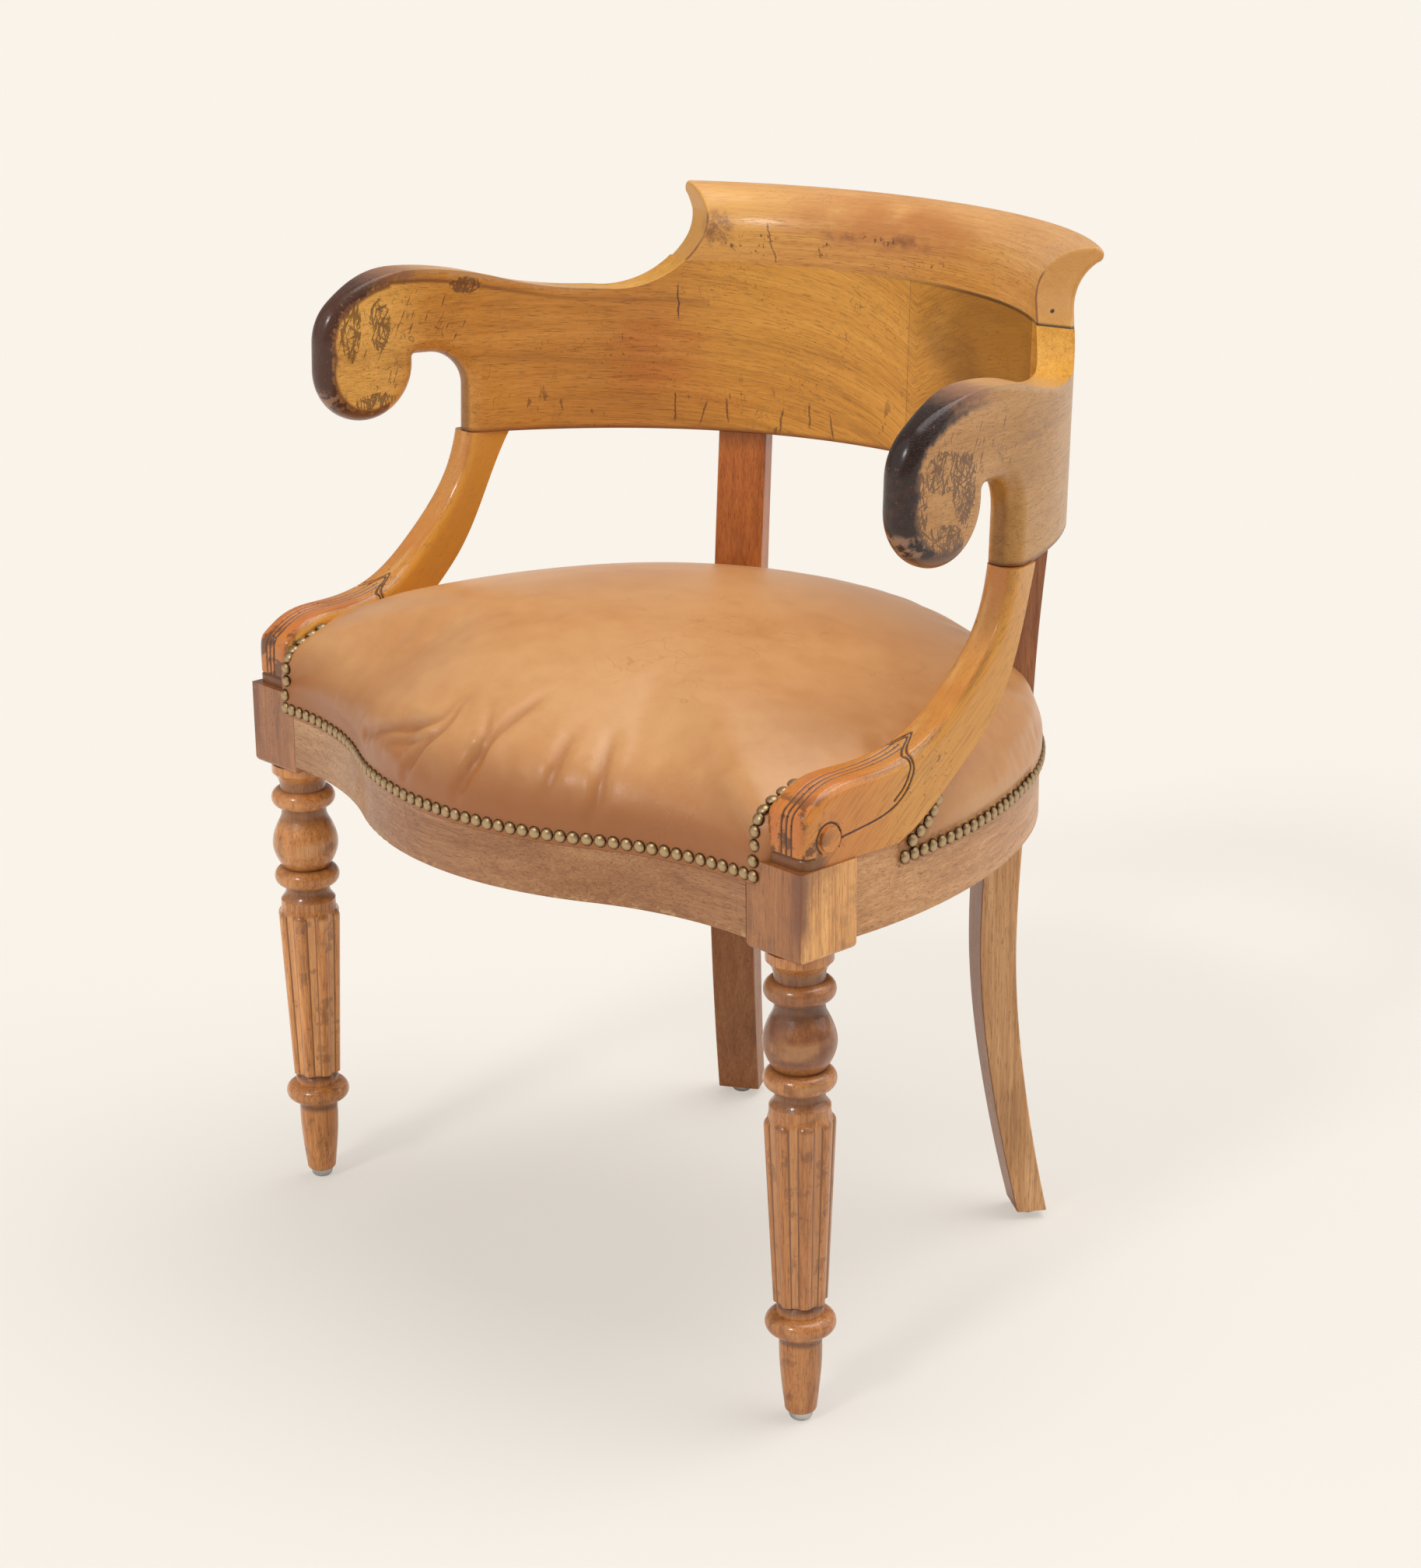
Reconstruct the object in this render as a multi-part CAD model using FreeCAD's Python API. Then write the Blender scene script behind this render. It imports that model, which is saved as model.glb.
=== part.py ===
import FreeCAD, Part
import math
import os

# Gondola desk chair: a horseshoe seat frame on two turned and reeded front legs and two sabre rear legs,
# a curved back band with scrolled arms and a rolled crest, and a domed leather seat. Millimetres.
# Frame: +X the sitter's left as seen from the front, -Y the front, +Z up, origin on the floor in the middle.
# Places along the depth are first given from the front legs' axes, see at().

# Driving dimensions
origin_back = 173.5        # the origin lies this far behind the front legs' axes
glide_height = 6.5
glide_diameter = 16.5

leg_spread = 273.0         # front leg axis, from the middle plane
block_width = 52.0         # square block at the head of the front leg
block_front = -24.0
block_back = 27.5
block_bottom = 347.0
block_top = 410.0

rail_bottom = 353.0
rail_top = block_top
rail_thickness = 30.0
front_bow = 62.5           # how far the front rail swells forward of its ends
ring_centre = 114.5        # centre of the round back
ring_radius = 282.0        # outer face of the seat frame at the back
ring_turn = 62.0           # where the round back gives way to the flatter sides, degrees from the middle
side_radius = 412.0        # outer face of the side rails

band_radius = 271.6        # inner face of the back band
band_thickness = 25.8
band_turn = 54.2           # where the band flattens into the arms
arm_radius = 364.6         # inner face of the arms
arm_end = 92.5             # direction at which the arm's plan ends, before the scroll is cut
panel_half = 38.0          # half angle of the middle panel
band_bottom = 574.0
band_top = 707.0
band_tilt = 2.32           # the whole back leans back by this many degrees
tilt_place = 177.9         # about a line this far back, under the arms' fronts
crest_rise = 56.0
crest_roll = 41.0          # radius of the crest's rolled front
crest_hollow = 46.0        # radius of the hollow behind it
sweep_place = 268.5        # where each arm's top starts to sweep up into the crest's end
sweep_bottom = 684.0
sweep_radius = 60.0
sweep_saw = 72.0           # the crest's ends are sawn across the band in this direction from straight back

rear_angle = 32.7          # rear legs stand at this angle round the back
rear_width = 38.0
rear_foot_width = 34.0
rear_lean = 0.9            # degrees that the rear posts lean towards each other

seat_crown = 502.0
seat_base = rail_top + 4.0
seat_middle = 110.0
leather = 2.0
nail_line = 399.0
nail_diameter = 9.4
nail_pitch = 9.8
nail_rise = 2.4
clearance = 0.4            # between the soft seat and the wood beside it

X = FreeCAD.Vector(1, 0, 0)
Y = FreeCAD.Vector(0, 1, 0)
Z = FreeCAD.Vector(0, 0, 1)

block_inner = leg_spread - block_width / 2
crest_front = sweep_place + sweep_radius
half_root = math.sqrt(0.5)


def at(x, y, z=0.0):
    """A point from its place beside, behind and above the front legs' axes."""
    return FreeCAD.Vector(x, y - origin_back, z)


def round_back(radius, angle, z=0.0):
    """A point on a circle about the round back's centre, the angle from straight back."""
    a = math.radians(angle)
    return at(radius * math.sin(a), ring_centre + radius * math.cos(a), z)


def side_centre(radius, turn, flat):
    """Centre of a flatter side arc, which runs on smoothly from the back's arc at the turn angle."""
    a = math.radians(turn)
    return (radius - flat) * math.sin(a), ring_centre + (radius - flat) * math.cos(a)


def side_arc(radius, turn, flat, angle, z=0.0):
    """A point on the right side's flatter arc at this direction from straight back."""
    cx, cy = side_centre(radius, turn, flat)
    a = math.radians(angle)
    return at(cx + flat * math.sin(a), cy + flat * math.cos(a), z)


def line(a, b):
    return Part.LineSegment(a, b).toShape()


def arc(a, b, c):
    return Part.Arc(a, b, c).toShape()


def curve(points):
    spline = Part.BSplineCurve()
    spline.interpolate(points)
    return spline.toShape()


def polygon(points):
    return [line(a, b) for a, b in zip(points, points[1:] + points[:1])]


def prism(edges, direction):
    wire = Part.Wire(Part.__sortEdges__(edges))
    return Part.Face(wire).extrude(direction)


def turned(edges):
    """A solid of revolution about the upright axis."""
    return Part.Face(Part.Wire(edges)).revolve(FreeCAD.Vector(), Z, 360)


def mirrored(shape):
    return shape.mirror(FreeCAD.Vector(), X)


def both(shape):
    return [shape, mirrored(shape)]


def leaned(shape):
    """The back is worked upright, then leaned back about the line under the arms' fronts."""
    result = shape.copy()
    result.rotate(at(0, tilt_place, band_bottom), X, -band_tilt)
    return result


def rounded(shape, radius, wanted):
    return shape.makeFillet(radius, [edge for edge in shape.Edges if wanted(edge.BoundBox)]).Solids[0]


def without(shape, others):
    """The largest solid left when the others are taken away."""
    for other in others:
        shape = shape.cut(other)
    return max(shape.Solids, key=lambda solid: solid.Volume)


# Back band: middle panel, arms and crest
def arm_plan():
    """The right half of the plain band, from the panel's joint to past the scroll's front."""
    inner, outer = band_radius, band_radius + band_thickness
    flat_in, flat_out = arm_radius, arm_radius + band_thickness
    half, far = (panel_half + band_turn) / 2, (band_turn + arm_end) / 2
    loops = []
    for radius, flat in ((inner, flat_in), (outer, flat_out)):
        back = [round_back(radius, angle, band_bottom) for angle in (panel_half, half, band_turn)]
        side = [side_arc(radius, band_turn, flat, angle, band_bottom) for angle in (band_turn, far, arm_end)]
        loops.append((arc(*back), arc(*side), back[0], side[2]))
    edges = [loops[0][0], loops[0][1], loops[1][0], loops[1][1],
             line(loops[0][2], loops[1][2]), line(loops[0][3], loops[1][3])]
    return prism(edges, Z * (band_top - band_bottom))


def end_cut():
    """What is sawn away ahead of the crest's right end: a hollow that carries the arm's top up into it."""
    crease = 1.2
    reach = sweep_radius * half_root
    slope = 1 / math.tan(math.radians(sweep_saw))

    def sawn(y, z):
        """A point of the hollow on the band's inner face, slid along the saw's line to the middle plane."""
        return at(0, y - slope * math.sqrt(band_radius ** 2 - (y - ring_centre) ** 2), z)

    start, end = sawn(sweep_place, sweep_bottom), sawn(crest_front, sweep_bottom + sweep_radius)
    middle = sawn(sweep_place + reach + crease, sweep_bottom + sweep_radius - reach)
    roof, ahead = 800.0, at(0, -400).y
    corners = [end, FreeCAD.Vector(0, end.y, roof), FreeCAD.Vector(0, ahead, roof),
               FreeCAD.Vector(0, ahead, sweep_bottom), start]
    edges = [arc(start, middle, end)] + [line(a, b) for a, b in zip(corners, corners[1:])]
    cut = prism(edges, FreeCAD.Vector(1, slope, 0) * 400)
    return cut.common(Part.makeBox(400, 300, 200, at(0, sweep_place, sweep_bottom - 20)))


def arm_outline():
    """Side view of one arm: underside, notch, scroll lobe, brow and crown, then the long dip to the crest."""
    front, lobe, lobe_z = 49.5, 42.0, 632.0
    lobe_y = front + lobe
    notch_y, notch_z, notch = 176.0, 638.0, 28.0
    brow, brow_z, brow_angle = 40.0, 652.0, math.radians(55)
    crown_z = 704.0
    heel = at(0, lobe_y + math.sqrt(lobe ** 2 - (notch_z - lobe_z) ** 2), notch_z)
    meet_y = front + brow * (1 - math.cos(brow_angle))
    meet_z = brow_z + brow * math.sin(brow_angle)
    cap = (crown_z - meet_z) / (1 - math.sin(brow_angle))
    crown_y = meet_y + cap * math.cos(brow_angle)
    run, drop = (sweep_place - crown_y) / 2, (crown_z - sweep_bottom) / 2
    wave = (run ** 2 + drop ** 2) / (2 * drop)
    dip = wave - math.sqrt(wave ** 2 - (run / 2) ** 2)
    middle = at(0, crown_y + run, crown_z - drop)
    roof, end = band_top + 20, 360.0
    corner = notch * (1 - half_root)

    def on_arc(radius, centre_y, centre_z, angle):
        return at(0, centre_y - radius * math.cos(angle), centre_z + radius * math.sin(angle))

    return [
        line(at(0, end, band_bottom), at(0, notch_y, band_bottom)),
        line(at(0, notch_y, band_bottom), at(0, notch_y, notch_z - notch)),
        arc(at(0, notch_y, notch_z - notch), at(0, notch_y - corner, notch_z - corner),
            at(0, notch_y - notch, notch_z)),
        line(at(0, notch_y - notch, notch_z), heel),
        arc(heel, at(0, lobe_y, lobe_z - lobe), at(0, front, lobe_z)),
        line(at(0, front, lobe_z), at(0, front, brow_z)),
        arc(at(0, front, brow_z), on_arc(brow, front + brow, brow_z, brow_angle / 2), at(0, meet_y, meet_z)),
        arc(at(0, meet_y, meet_z), on_arc(cap, crown_y, crown_z - cap, (brow_angle + math.pi / 2) / 2),
            at(0, crown_y, crown_z)),
        arc(at(0, crown_y, crown_z), at(0, crown_y + run / 2, crown_z - dip), middle),
        arc(middle, at(0, sweep_place - run / 2, sweep_bottom + dip), at(0, sweep_place, sweep_bottom)),
        line(at(0, sweep_place, sweep_bottom), at(0, sweep_place, roof)),
        line(at(0, sweep_place, roof), at(0, end, roof)),
        line(at(0, end, roof), at(0, end, band_bottom)),
    ]


def make_arm():
    """The scroll is sawn from the curved band, its heel eased, then its front and top edges rounded over:
    broadly round the lobe, less and less towards the crest."""
    arm = without(arm_plan().common(prism(arm_outline(), X * 360)), [end_cut()])
    heel_back = at(0, 136).y
    arm = rounded(arm, 2.0, lambda box: box.ZMin > 637.8 and box.ZMax < 638.2 and box.YMax < heel_back
                  and box.YLength < 1)
    boxes = [(edge, edge.BoundBox) for edge in arm.Edges]
    rim = [edge for edge, box in boxes if box.YMax < at(0, 134).y and box.XLength < 14
           and box.YLength + box.ZLength > 12]
    arm = arm.makeFillet(12.0, 0.3, rim).Solids[0]
    return rounded(arm, 1.2, lambda box: box.ZMax < band_bottom + 0.1 and box.YLength > 30)


def make_panel():
    section = [round_back(r, -panel_half, z) for r, z in
               ((band_radius, band_bottom), (band_radius + band_thickness, band_bottom),
                (band_radius + band_thickness, band_top), (band_radius, band_top))]
    panel = Part.Face(Part.Wire(polygon(section))).revolve(at(0, ring_centre), Z, -2 * panel_half)
    return rounded(panel, 1.2, lambda box: box.ZMax < band_bottom + 0.1 and box.XLength > 100)


def make_crest():
    """The crest's section turned round the back: upright face rolling back to a nose, hollow behind."""
    outer = band_radius + band_thickness
    top = band_top + crest_rise
    roll_z, hollow_z = top - crest_roll, band_top + 11
    inset = crest_roll * (1 - half_root)
    nose = band_radius + crest_roll
    start, tip = -52.0, math.radians(48)

    def place(radius, z):
        return round_back(radius, start, z)

    def hollow(angle):
        return place(outer + crest_hollow * (1 - math.cos(angle)), hollow_z + crest_hollow * math.sin(angle))

    edges = [
        line(place(band_radius, band_top), place(band_radius, roll_z)),
        arc(place(band_radius, roll_z), place(band_radius + inset, top - inset), place(nose - 4, top - 0.2)),
        arc(place(nose - 4, top - 0.2), place(nose + 3.6, top - 4.5), hollow(tip)),
        arc(hollow(tip), hollow(tip / 2), hollow(0)),
        line(hollow(0), place(outer, band_top)),
        line(place(outer, band_top), place(band_radius, band_top)),
    ]
    crest = Part.Face(Part.Wire(edges)).revolve(at(0, ring_centre), Z, 2 * start)
    crest = without(crest, both(end_cut()))
    sawn = [edge for face in crest.Faces if face.BoundBox.XLength < 60 for edge in face.Edges]
    rims = [edge for edge in sawn if sum(edge.isSame(other) for other in sawn) == 1]
    return crest.makeFillet(2.5, [edge for edge in rims if edge.BoundBox.ZMax > band_top + 0.1]).Solids[0]


def above_band():
    """Everything higher than the band's underside, to trim what meets it from below."""
    return leaned(Part.makeBox(900, 900, 200, at(-450, -200, band_bottom)))


# Rear legs: sabre foot below, post above, in one piece, drawn in the X = 0 plane and then stood in place
rear_line = ((604, 288), (574, 284.5), (455, 271.5), (353, 265), (213, 258.5), (115, 267.5), (0, 289.5))
rear_thickness = (23.5, 24, 26, 28, 28, 26, 23)


def rear_edge(side, gap=0.0):
    """The leg's inner (-1) or outer (+1) curve: distance from the round back's centre at each height."""
    return curve([FreeCAD.Vector(0, r + side * (deep / 2 + gap), z)
                  for (z, r), deep in zip(rear_line, rear_thickness)])


def into_place(shape):
    """Stand a rear piece at its angle round the back, with the post's lean."""
    result = shape.copy()
    result.rotate(FreeCAD.Vector(0, 265, 380), Y, -rear_lean)
    result.rotate(FreeCAD.Vector(), Z, -rear_angle)
    result.translate(at(0, ring_centre))
    return result


def make_rear_leg():
    inner, outer = rear_edge(-1), rear_edge(1)
    ends = [line(inner.Vertexes[i].Point, outer.Vertexes[i].Point) for i in (0, 1)]
    leg = prism([inner, outer] + ends, X * rear_width)
    leg.translate(X * (-rear_width / 2))
    top, foot = rear_width / 2, rear_foot_width / 2
    taper = [FreeCAD.Vector(x, 200, z) for x, z in
             ((-foot, 0), (foot, 0), (top, rail_bottom), (top, 720), (-top, 720), (-top, rail_bottom))]
    leg = leg.common(prism(polygon(taper), Y * 160)).Solids[0]
    leg = rounded(leg, 1.5, lambda box: box.ZLength > 200)
    floor = Part.makeBox(900, 900, 100, at(-450, -200, glide_height - 100))
    return without(into_place(leg), [above_band(), floor])


def rear_gap():
    """The full width of a rear leg, front to back, which the rails leave open."""
    height = rail_top - rail_bottom + 20
    corner = FreeCAD.Vector(-rear_width / 2, 220, rail_bottom - 10)
    return into_place(Part.makeBox(rear_width, 120, height, corner))


def rear_slot():
    """The space that a rear post takes from the seat, open to the back."""
    width, behind, low = rear_width + 2 * clearance, 330.0, rail_top - 30
    inner = rear_edge(-1, clearance)
    top, foot = (vertex.Point for vertex in inner.Vertexes)
    edges = [inner] + [line(a, b) for a, b in (
        (top, FreeCAD.Vector(0, behind, top.z)),
        (FreeCAD.Vector(0, behind, top.z), FreeCAD.Vector(0, behind, foot.z)),
        (FreeCAD.Vector(0, behind, foot.z), foot))]
    slot = prism(edges, X * width)
    slot.translate(X * (-width / 2))
    return into_place(slot.common(Part.makeBox(200, 400, 200, FreeCAD.Vector(-100, 0, low))))


# Front legs: square block, turned rings and vase, reeded taper and peg foot
def turning():
    """Half outline of the turning, radius by height, from the block down to the foot."""
    def p(radius, z):
        return FreeCAD.Vector(radius, 0, z)

    def run(*points):
        return [line(a, b) for a, b in zip(points, points[1:])]

    def ring(z, radius, neck):
        return [arc(p(neck, z + 7.5), p(radius, z), p(neck, z - 7.5))]

    edges = run(p(0, block_bottom), p(23, block_bottom), p(23, 340))
    edges += [arc(p(23, 340), p(18.2, 333), p(17.6, 326.5))]
    edges += ring(319, 24.5, 17.6)
    edges += [arc(p(17.6, 311.5), p(17.2, 307), p(18.6, 302))]
    edges += [curve([p(18.6, 302), p(23.2, 292), p(25.2, 281), p(22.2, 270), p(17.6, 262.5)])]
    edges += ring(255, 25.0, 17.6)
    edges += [arc(p(17.6, 247.5), p(17.0, 243), p(19, 238.5))]
    edges += run(p(19, 238.5), p(21, 236), p(21, 231), p(22.2, 226), p(17, 91.5))
    edges += run(p(17, 91.5), p(14.2, 91), p(16.5, 87), p(16.5, 82))
    edges += ring(74.5, 24.5, 16.5)
    edges += run(p(16.5, 67), p(14.8, 62))
    edges += [curve([p(14.8, 62), p(14.6, 45), p(12.6, 22), p(11.2, 10)])]
    edges += [arc(p(11.2, 10), p(10.4, 7.6), p(8.6, glide_height))]
    edges += run(p(8.6, glide_height), p(0, glide_height), p(0, block_bottom))
    return turned(edges)


def make_reeds():
    """Eight tapered reeds standing a little proud of the column, each round at its head and cut off below."""
    count = 8
    head_z, head_ring, head_round = 222.0, 17.7, 7.0
    foot_z, foot_ring, foot_round = 91.5, 13.5, 5.4
    reeds = []
    for index in range(count):
        a = 2 * math.pi * (index + 0.25) / count
        out = FreeCAD.Vector(math.cos(a), math.sin(a), 0)
        head, foot = out * head_ring + Z * head_z, out * foot_ring + Z * foot_z
        stem = Part.makeCone(foot_round, head_round, (head - foot).Length, foot, head - foot)
        reeds += [stem, Part.makeSphere(head_round, head)]
    return reeds


def make_front_leg():
    block = Part.makeBox(block_width, block_back - block_front, block_top - block_bottom,
                         FreeCAD.Vector(-block_width / 2, block_front, block_bottom))
    block = rounded(block, 1.2, lambda box: box.ZLength > 50)
    block = rounded(block, 4.0, lambda box: box.ZMax < block_bottom + 0.1)
    leg = turning().multiFuse(make_reeds()).fuse(block).removeSplitter()
    leg.translate(at(leg_spread, 0))
    return without(leg, [front_tenon(), side_tenon()])


def make_glide(place):
    """Steel glide under a foot: a low dome with a flat to stand on."""
    r = glide_diameter / 2
    flat, edge, rise = FreeCAD.Vector(r * 0.55, 0, 0), FreeCAD.Vector(r, 0, 4), Z * glide_height
    edges = [line(FreeCAD.Vector(), flat), arc(flat, FreeCAD.Vector(r * 0.88, 0, 1.6), edge),
             line(edge, X * r + rise), line(X * r + rise, rise), line(rise, FreeCAD.Vector())]
    glide = turned(edges)
    glide.translate(FreeCAD.Vector(place.x, place.y, 0))
    return glide


def rear_foot():
    return into_place(Part.Vertex(0, 288.3, glide_height)).Point


# Arm supports: scrolled S from the front block up to the arm
support_rear = ((218, 596), (195, 550), (160, 483), (119, 445.5), (89, 422), (66, block_top))
support_inner = ((259.5, -40), (261.5, 40), (268.5, 110), (271, 155), (269.5, 180), (252, 220))
support_outer = ((298, -40), (298.4, 60), (299.5, 130), (297.1, 177), (282.5, 220))


def support_side():
    """Side view of the support: front sweep and rounded nose, the block below, and the rear sweep."""
    sweep = Part.BSplineCurve()
    points = ((176.5, 582), (164, 541), (129, 499.5), (88, 471.5), (40, 463.5), (2, 459), (-13, 450),
              (-19, 432))
    start = at(0, 172, 552) - at(0, 177, 582)
    sweep.interpolate(Points=[at(0, y, z) for y, z in points], InitialTangent=start,
                      FinalTangent=FreeCAD.Vector(0, 0, -1))
    rear = [at(0, y, z) for y, z in support_rear]
    toe, nose = at(0, points[-1][0], block_top), at(0, *points[-1])
    return [sweep.toShape(), line(nose, toe), line(toe, rear[-1]), curve(rear), line(rear[0], at(0, *points[0]))]


def support_plan():
    """The support seen from above: broad on the block, thinner as it follows the arm's curve back."""
    low = rail_top - 30
    inner = [at(x, y, low) for x, y in support_inner]
    outer = [at(x, y, low) for x, y in support_outer]
    edges = [curve(inner), curve(outer), line(inner[0], outer[0]), line(inner[-1], outer[-1])]
    return prism(edges, Z * 240)


def make_support():
    """Cut from the side and plan views, front edges rounded, with a volute boss on the outer cheek."""
    side = prism(support_side(), X * 120)
    side.translate(X * 220)
    support = without(side.common(support_plan()), [above_band()])
    support = rounded(support, 8.0, lambda box: box.YMax < at(0, 178).y and box.XLength < 20
                      and box.ZLength > 100)
    boss = Part.makeCylinder(8.5, 6, at(293.2, 3.4, 428.3), X)
    return support.fuse(boss).removeSplitter().Solids[0]


def support_space():
    """What the support, and all in front of it, takes from the seat on the right."""
    rear = [at(0, y + clearance, z) for y, z in support_rear]
    ahead, low = -140.0, rail_top - 30
    edges = [curve(rear)] + [line(a, b) for a, b in (
        (rear[0], at(0, ahead, rear[0].z)), (at(0, ahead, rear[0].z), at(0, ahead, low)),
        (at(0, ahead, low), at(0, support_rear[-1][0] + clearance, low)),
        (at(0, support_rear[-1][0] + clearance, low), rear[-1]))]
    space = prism(edges, X * 200)
    space.translate(X * 200)
    inner = [at(x - clearance, y, low) for x, y in support_inner]
    corners = [inner[-1], at(400, 220, low), at(400, -140, low), at(inner[0].x, -140, low), inner[0]]
    beside = prism([curve(inner)] + [line(a, b) for a, b in zip(corners, corners[1:])], Z * 240)
    return space.common(beside)


# Seat frame: bowed front rail, side rails and back rail, tenoned into the legs
tenon_bottom = rail_bottom + 9
tenon_height = rail_top - rail_bottom - 18


def serpentine(shift, z):
    """A line of the front rail from left to right: one swell between two hollows, as equal arcs."""
    ends, sag = block_front + shift, front_bow / 2
    half, quarter = block_inner / 2, block_inner / 4
    radius = (half ** 2 + sag ** 2) / (2 * sag)
    dip = radius - math.sqrt(radius ** 2 - quarter ** 2)
    hollow = [at(half, ends - sag, z), at(half + quarter, ends - dip, z), at(block_inner, ends, z)]
    other = [FreeCAD.Vector(-p.x, p.y, p.z) for p in reversed(hollow)]
    return [other, [other[2], at(0, ends - front_bow, z), hollow[0]], hollow]


def front_tenon():
    return Part.makeBox(32, 12, tenon_height, at(block_inner - 8, -12, tenon_bottom))


def side_tenon():
    return Part.makeBox(12, 26, tenon_height, at(leg_spread - 3, block_back - 18, tenon_bottom))


def rear_tenon(side):
    """A tenon into the rear leg's flank, from the side rail (+1) or from the back rail (-1)."""
    half = rear_width / 2
    return into_place(Part.makeBox(20, 10, tenon_height, FreeCAD.Vector(side * half - 10, 260, tenon_bottom)))


def make_front_rail():
    front, back = serpentine(0, rail_bottom), serpentine(rail_thickness - 2, rail_bottom)
    ends = [line(front[0][0], back[0][0]), line(front[2][2], back[2][2])]
    rail = prism([arc(*points) for points in front + back] + ends, Z * (rail_top - rail_bottom))
    rail = rounded(rail, 1.2, lambda box: box.ZMax < rail_bottom + 0.1 and box.XLength > 20)
    return rail.multiFuse(both(front_tenon())).removeSplitter().Solids[0]


def ring_line(radius, flat, start, z):
    """A horseshoe line from the right front round the back: side, back and side arc, as point triples."""
    cy = side_centre(radius, ring_turn, flat)[1]
    angle = math.degrees(math.acos((start - cy) / flat))
    right = [side_arc(radius, ring_turn, flat, a, z) for a in (angle, (angle + ring_turn) / 2, ring_turn)]
    left = [FreeCAD.Vector(-p.x, p.y, p.z) for p in reversed(right)]
    return [right, [right[2], round_back(radius, 0, z), left[0]], left]


def make_rails():
    """The horseshoe parted by the rear legs into left, back and right rails, each with its tenons."""
    outer = ring_line(ring_radius, side_radius, block_back, rail_bottom)
    inner = ring_line(ring_radius - rail_thickness, side_radius - rail_thickness, block_back, rail_bottom)
    ends = [line(outer[0][0], inner[0][0]), line(outer[2][2], inner[2][2])]
    ring = prism([arc(*points) for points in outer + inner] + ends, Z * (rail_top - rail_bottom))
    ring = rounded(ring, 1.2, lambda box: box.ZMax < rail_bottom + 0.1 and box.YLength > 20)
    for gap in both(rear_gap()):
        ring = ring.cut(gap)
    back, right = sorted(ring.Solids, key=lambda solid: solid.CenterOfMass.x)[1:]
    back = back.multiFuse(both(rear_tenon(-1))).removeSplitter().Solids[0]
    return back, right.multiFuse([side_tenon(), rear_tenon(1)]).removeSplitter().Solids[0]


def make_corner_block(neighbours):
    """Glue block fitted into the angle between the front rail, the leg's block and the side rail."""
    corners = [at(block_inner - 55, -30, 360), at(block_inner + 40, -30, 360), at(block_inner + 40, 86, 360)]
    return without(prism(polygon(corners), Z * 38), neighbours)


# Seat: webbing, base cloth, stuffing and leather
seat_corner = block_inner + 12.5
side_begin = 30.0


def seat_wire(scale, z):
    """The seat's outline over the rails' outer faces, scaled about a point near its middle."""
    centre = at(0, seat_middle)
    front = serpentine(0, 0)
    ring = ring_line(ring_radius, side_radius, side_begin, 0)
    corner = at(seat_corner, block_front)
    opposite = FreeCAD.Vector(-corner.x, corner.y, 0)
    groups = [front[1], front[2], [front[2][2], corner], [corner, ring[0][0]], ring[0], ring[1], ring[2],
              [ring[2][2], opposite], [opposite, front[0][0]], front[0]]
    edges = []
    for group in groups:
        placed = [centre + (point - centre) * scale + Z * z for point in group]
        edges.append(arc(*placed) if len(placed) == 3 else line(*placed))
    return Part.Wire(edges)


def seat_scale(share):
    """How broad the seat is at a share of its height: a bulge low down, then drawn in to the crown."""
    wall, bulge = 0.28, 0.012
    if share < wall:
        return 1 + bulge * math.sin(math.pi * share / wall)
    return (1 - ((share - wall) / (1 - wall)) ** 1.3) ** (1 / 2.2)


def make_dome(grow, crown):
    shares = (0, 0.14, 0.28, 0.42, 0.58, 0.73, 0.86, 0.95, 0.993)
    height = crown - seat_base
    wires = [seat_wire(seat_scale(share) + grow, seat_base + share * height) for share in shares]
    return Part.makeLoft(wires, True, False)


def flat_seat(scale, bottom, top):
    return Part.Face(seat_wire(scale, bottom)).extrude(Z * (top - bottom))


leather_grow = leather / ring_radius


def leather_scale(z):
    """How broad the leather's outer surface is at this height."""
    return seat_scale(max(0.0, (z - seat_base) / (seat_crown - seat_base))) + leather_grow


def make_seat(taken):
    """Stuffing, then the leather drawn over it and down over the rails to below the nails."""
    stuffing = make_dome(0.0, seat_crown - leather)
    hem = flat_seat(1 + leather_grow, nail_line - 6.5, seat_base)
    under = flat_seat(1.0, nail_line - 10, seat_base)
    cover = make_dome(leather_grow, seat_crown).fuse(hem).cut(stuffing).cut(under)
    return without(stuffing, taken), without(cover, taken)


def make_webbing(taken):
    """Strips of web tacked on the rails' tops, lengthwise below and crosswise above, then the base cloth."""
    thickness, width, reach = 1.4, 46.0, 500.0
    levels = [rail_top + step * thickness for step in range(3)]
    lengthwise = [Part.makeBox(width, 2 * reach, thickness, at(x - width / 2, -reach, levels[0]))
                  for x in (-195, -94, -32, 32, 94, 195)]
    crosswise = [Part.makeBox(2 * reach, width, thickness, at(-reach, y - width / 2, levels[1]))
                 for y in (24, 98, 152, 206, 260)]
    layers = []
    for strips, level in ((lengthwise, levels[0]), (crosswise, levels[1])):
        limit = flat_seat(0.965, level, level + thickness)
        layers.append(Part.makeCompound([without(strip.common(limit), taken) for strip in strips]))
    cloth = without(flat_seat(0.985, levels[2], levels[2] + 0.8), taken)
    return layers[0], layers[1], cloth


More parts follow.
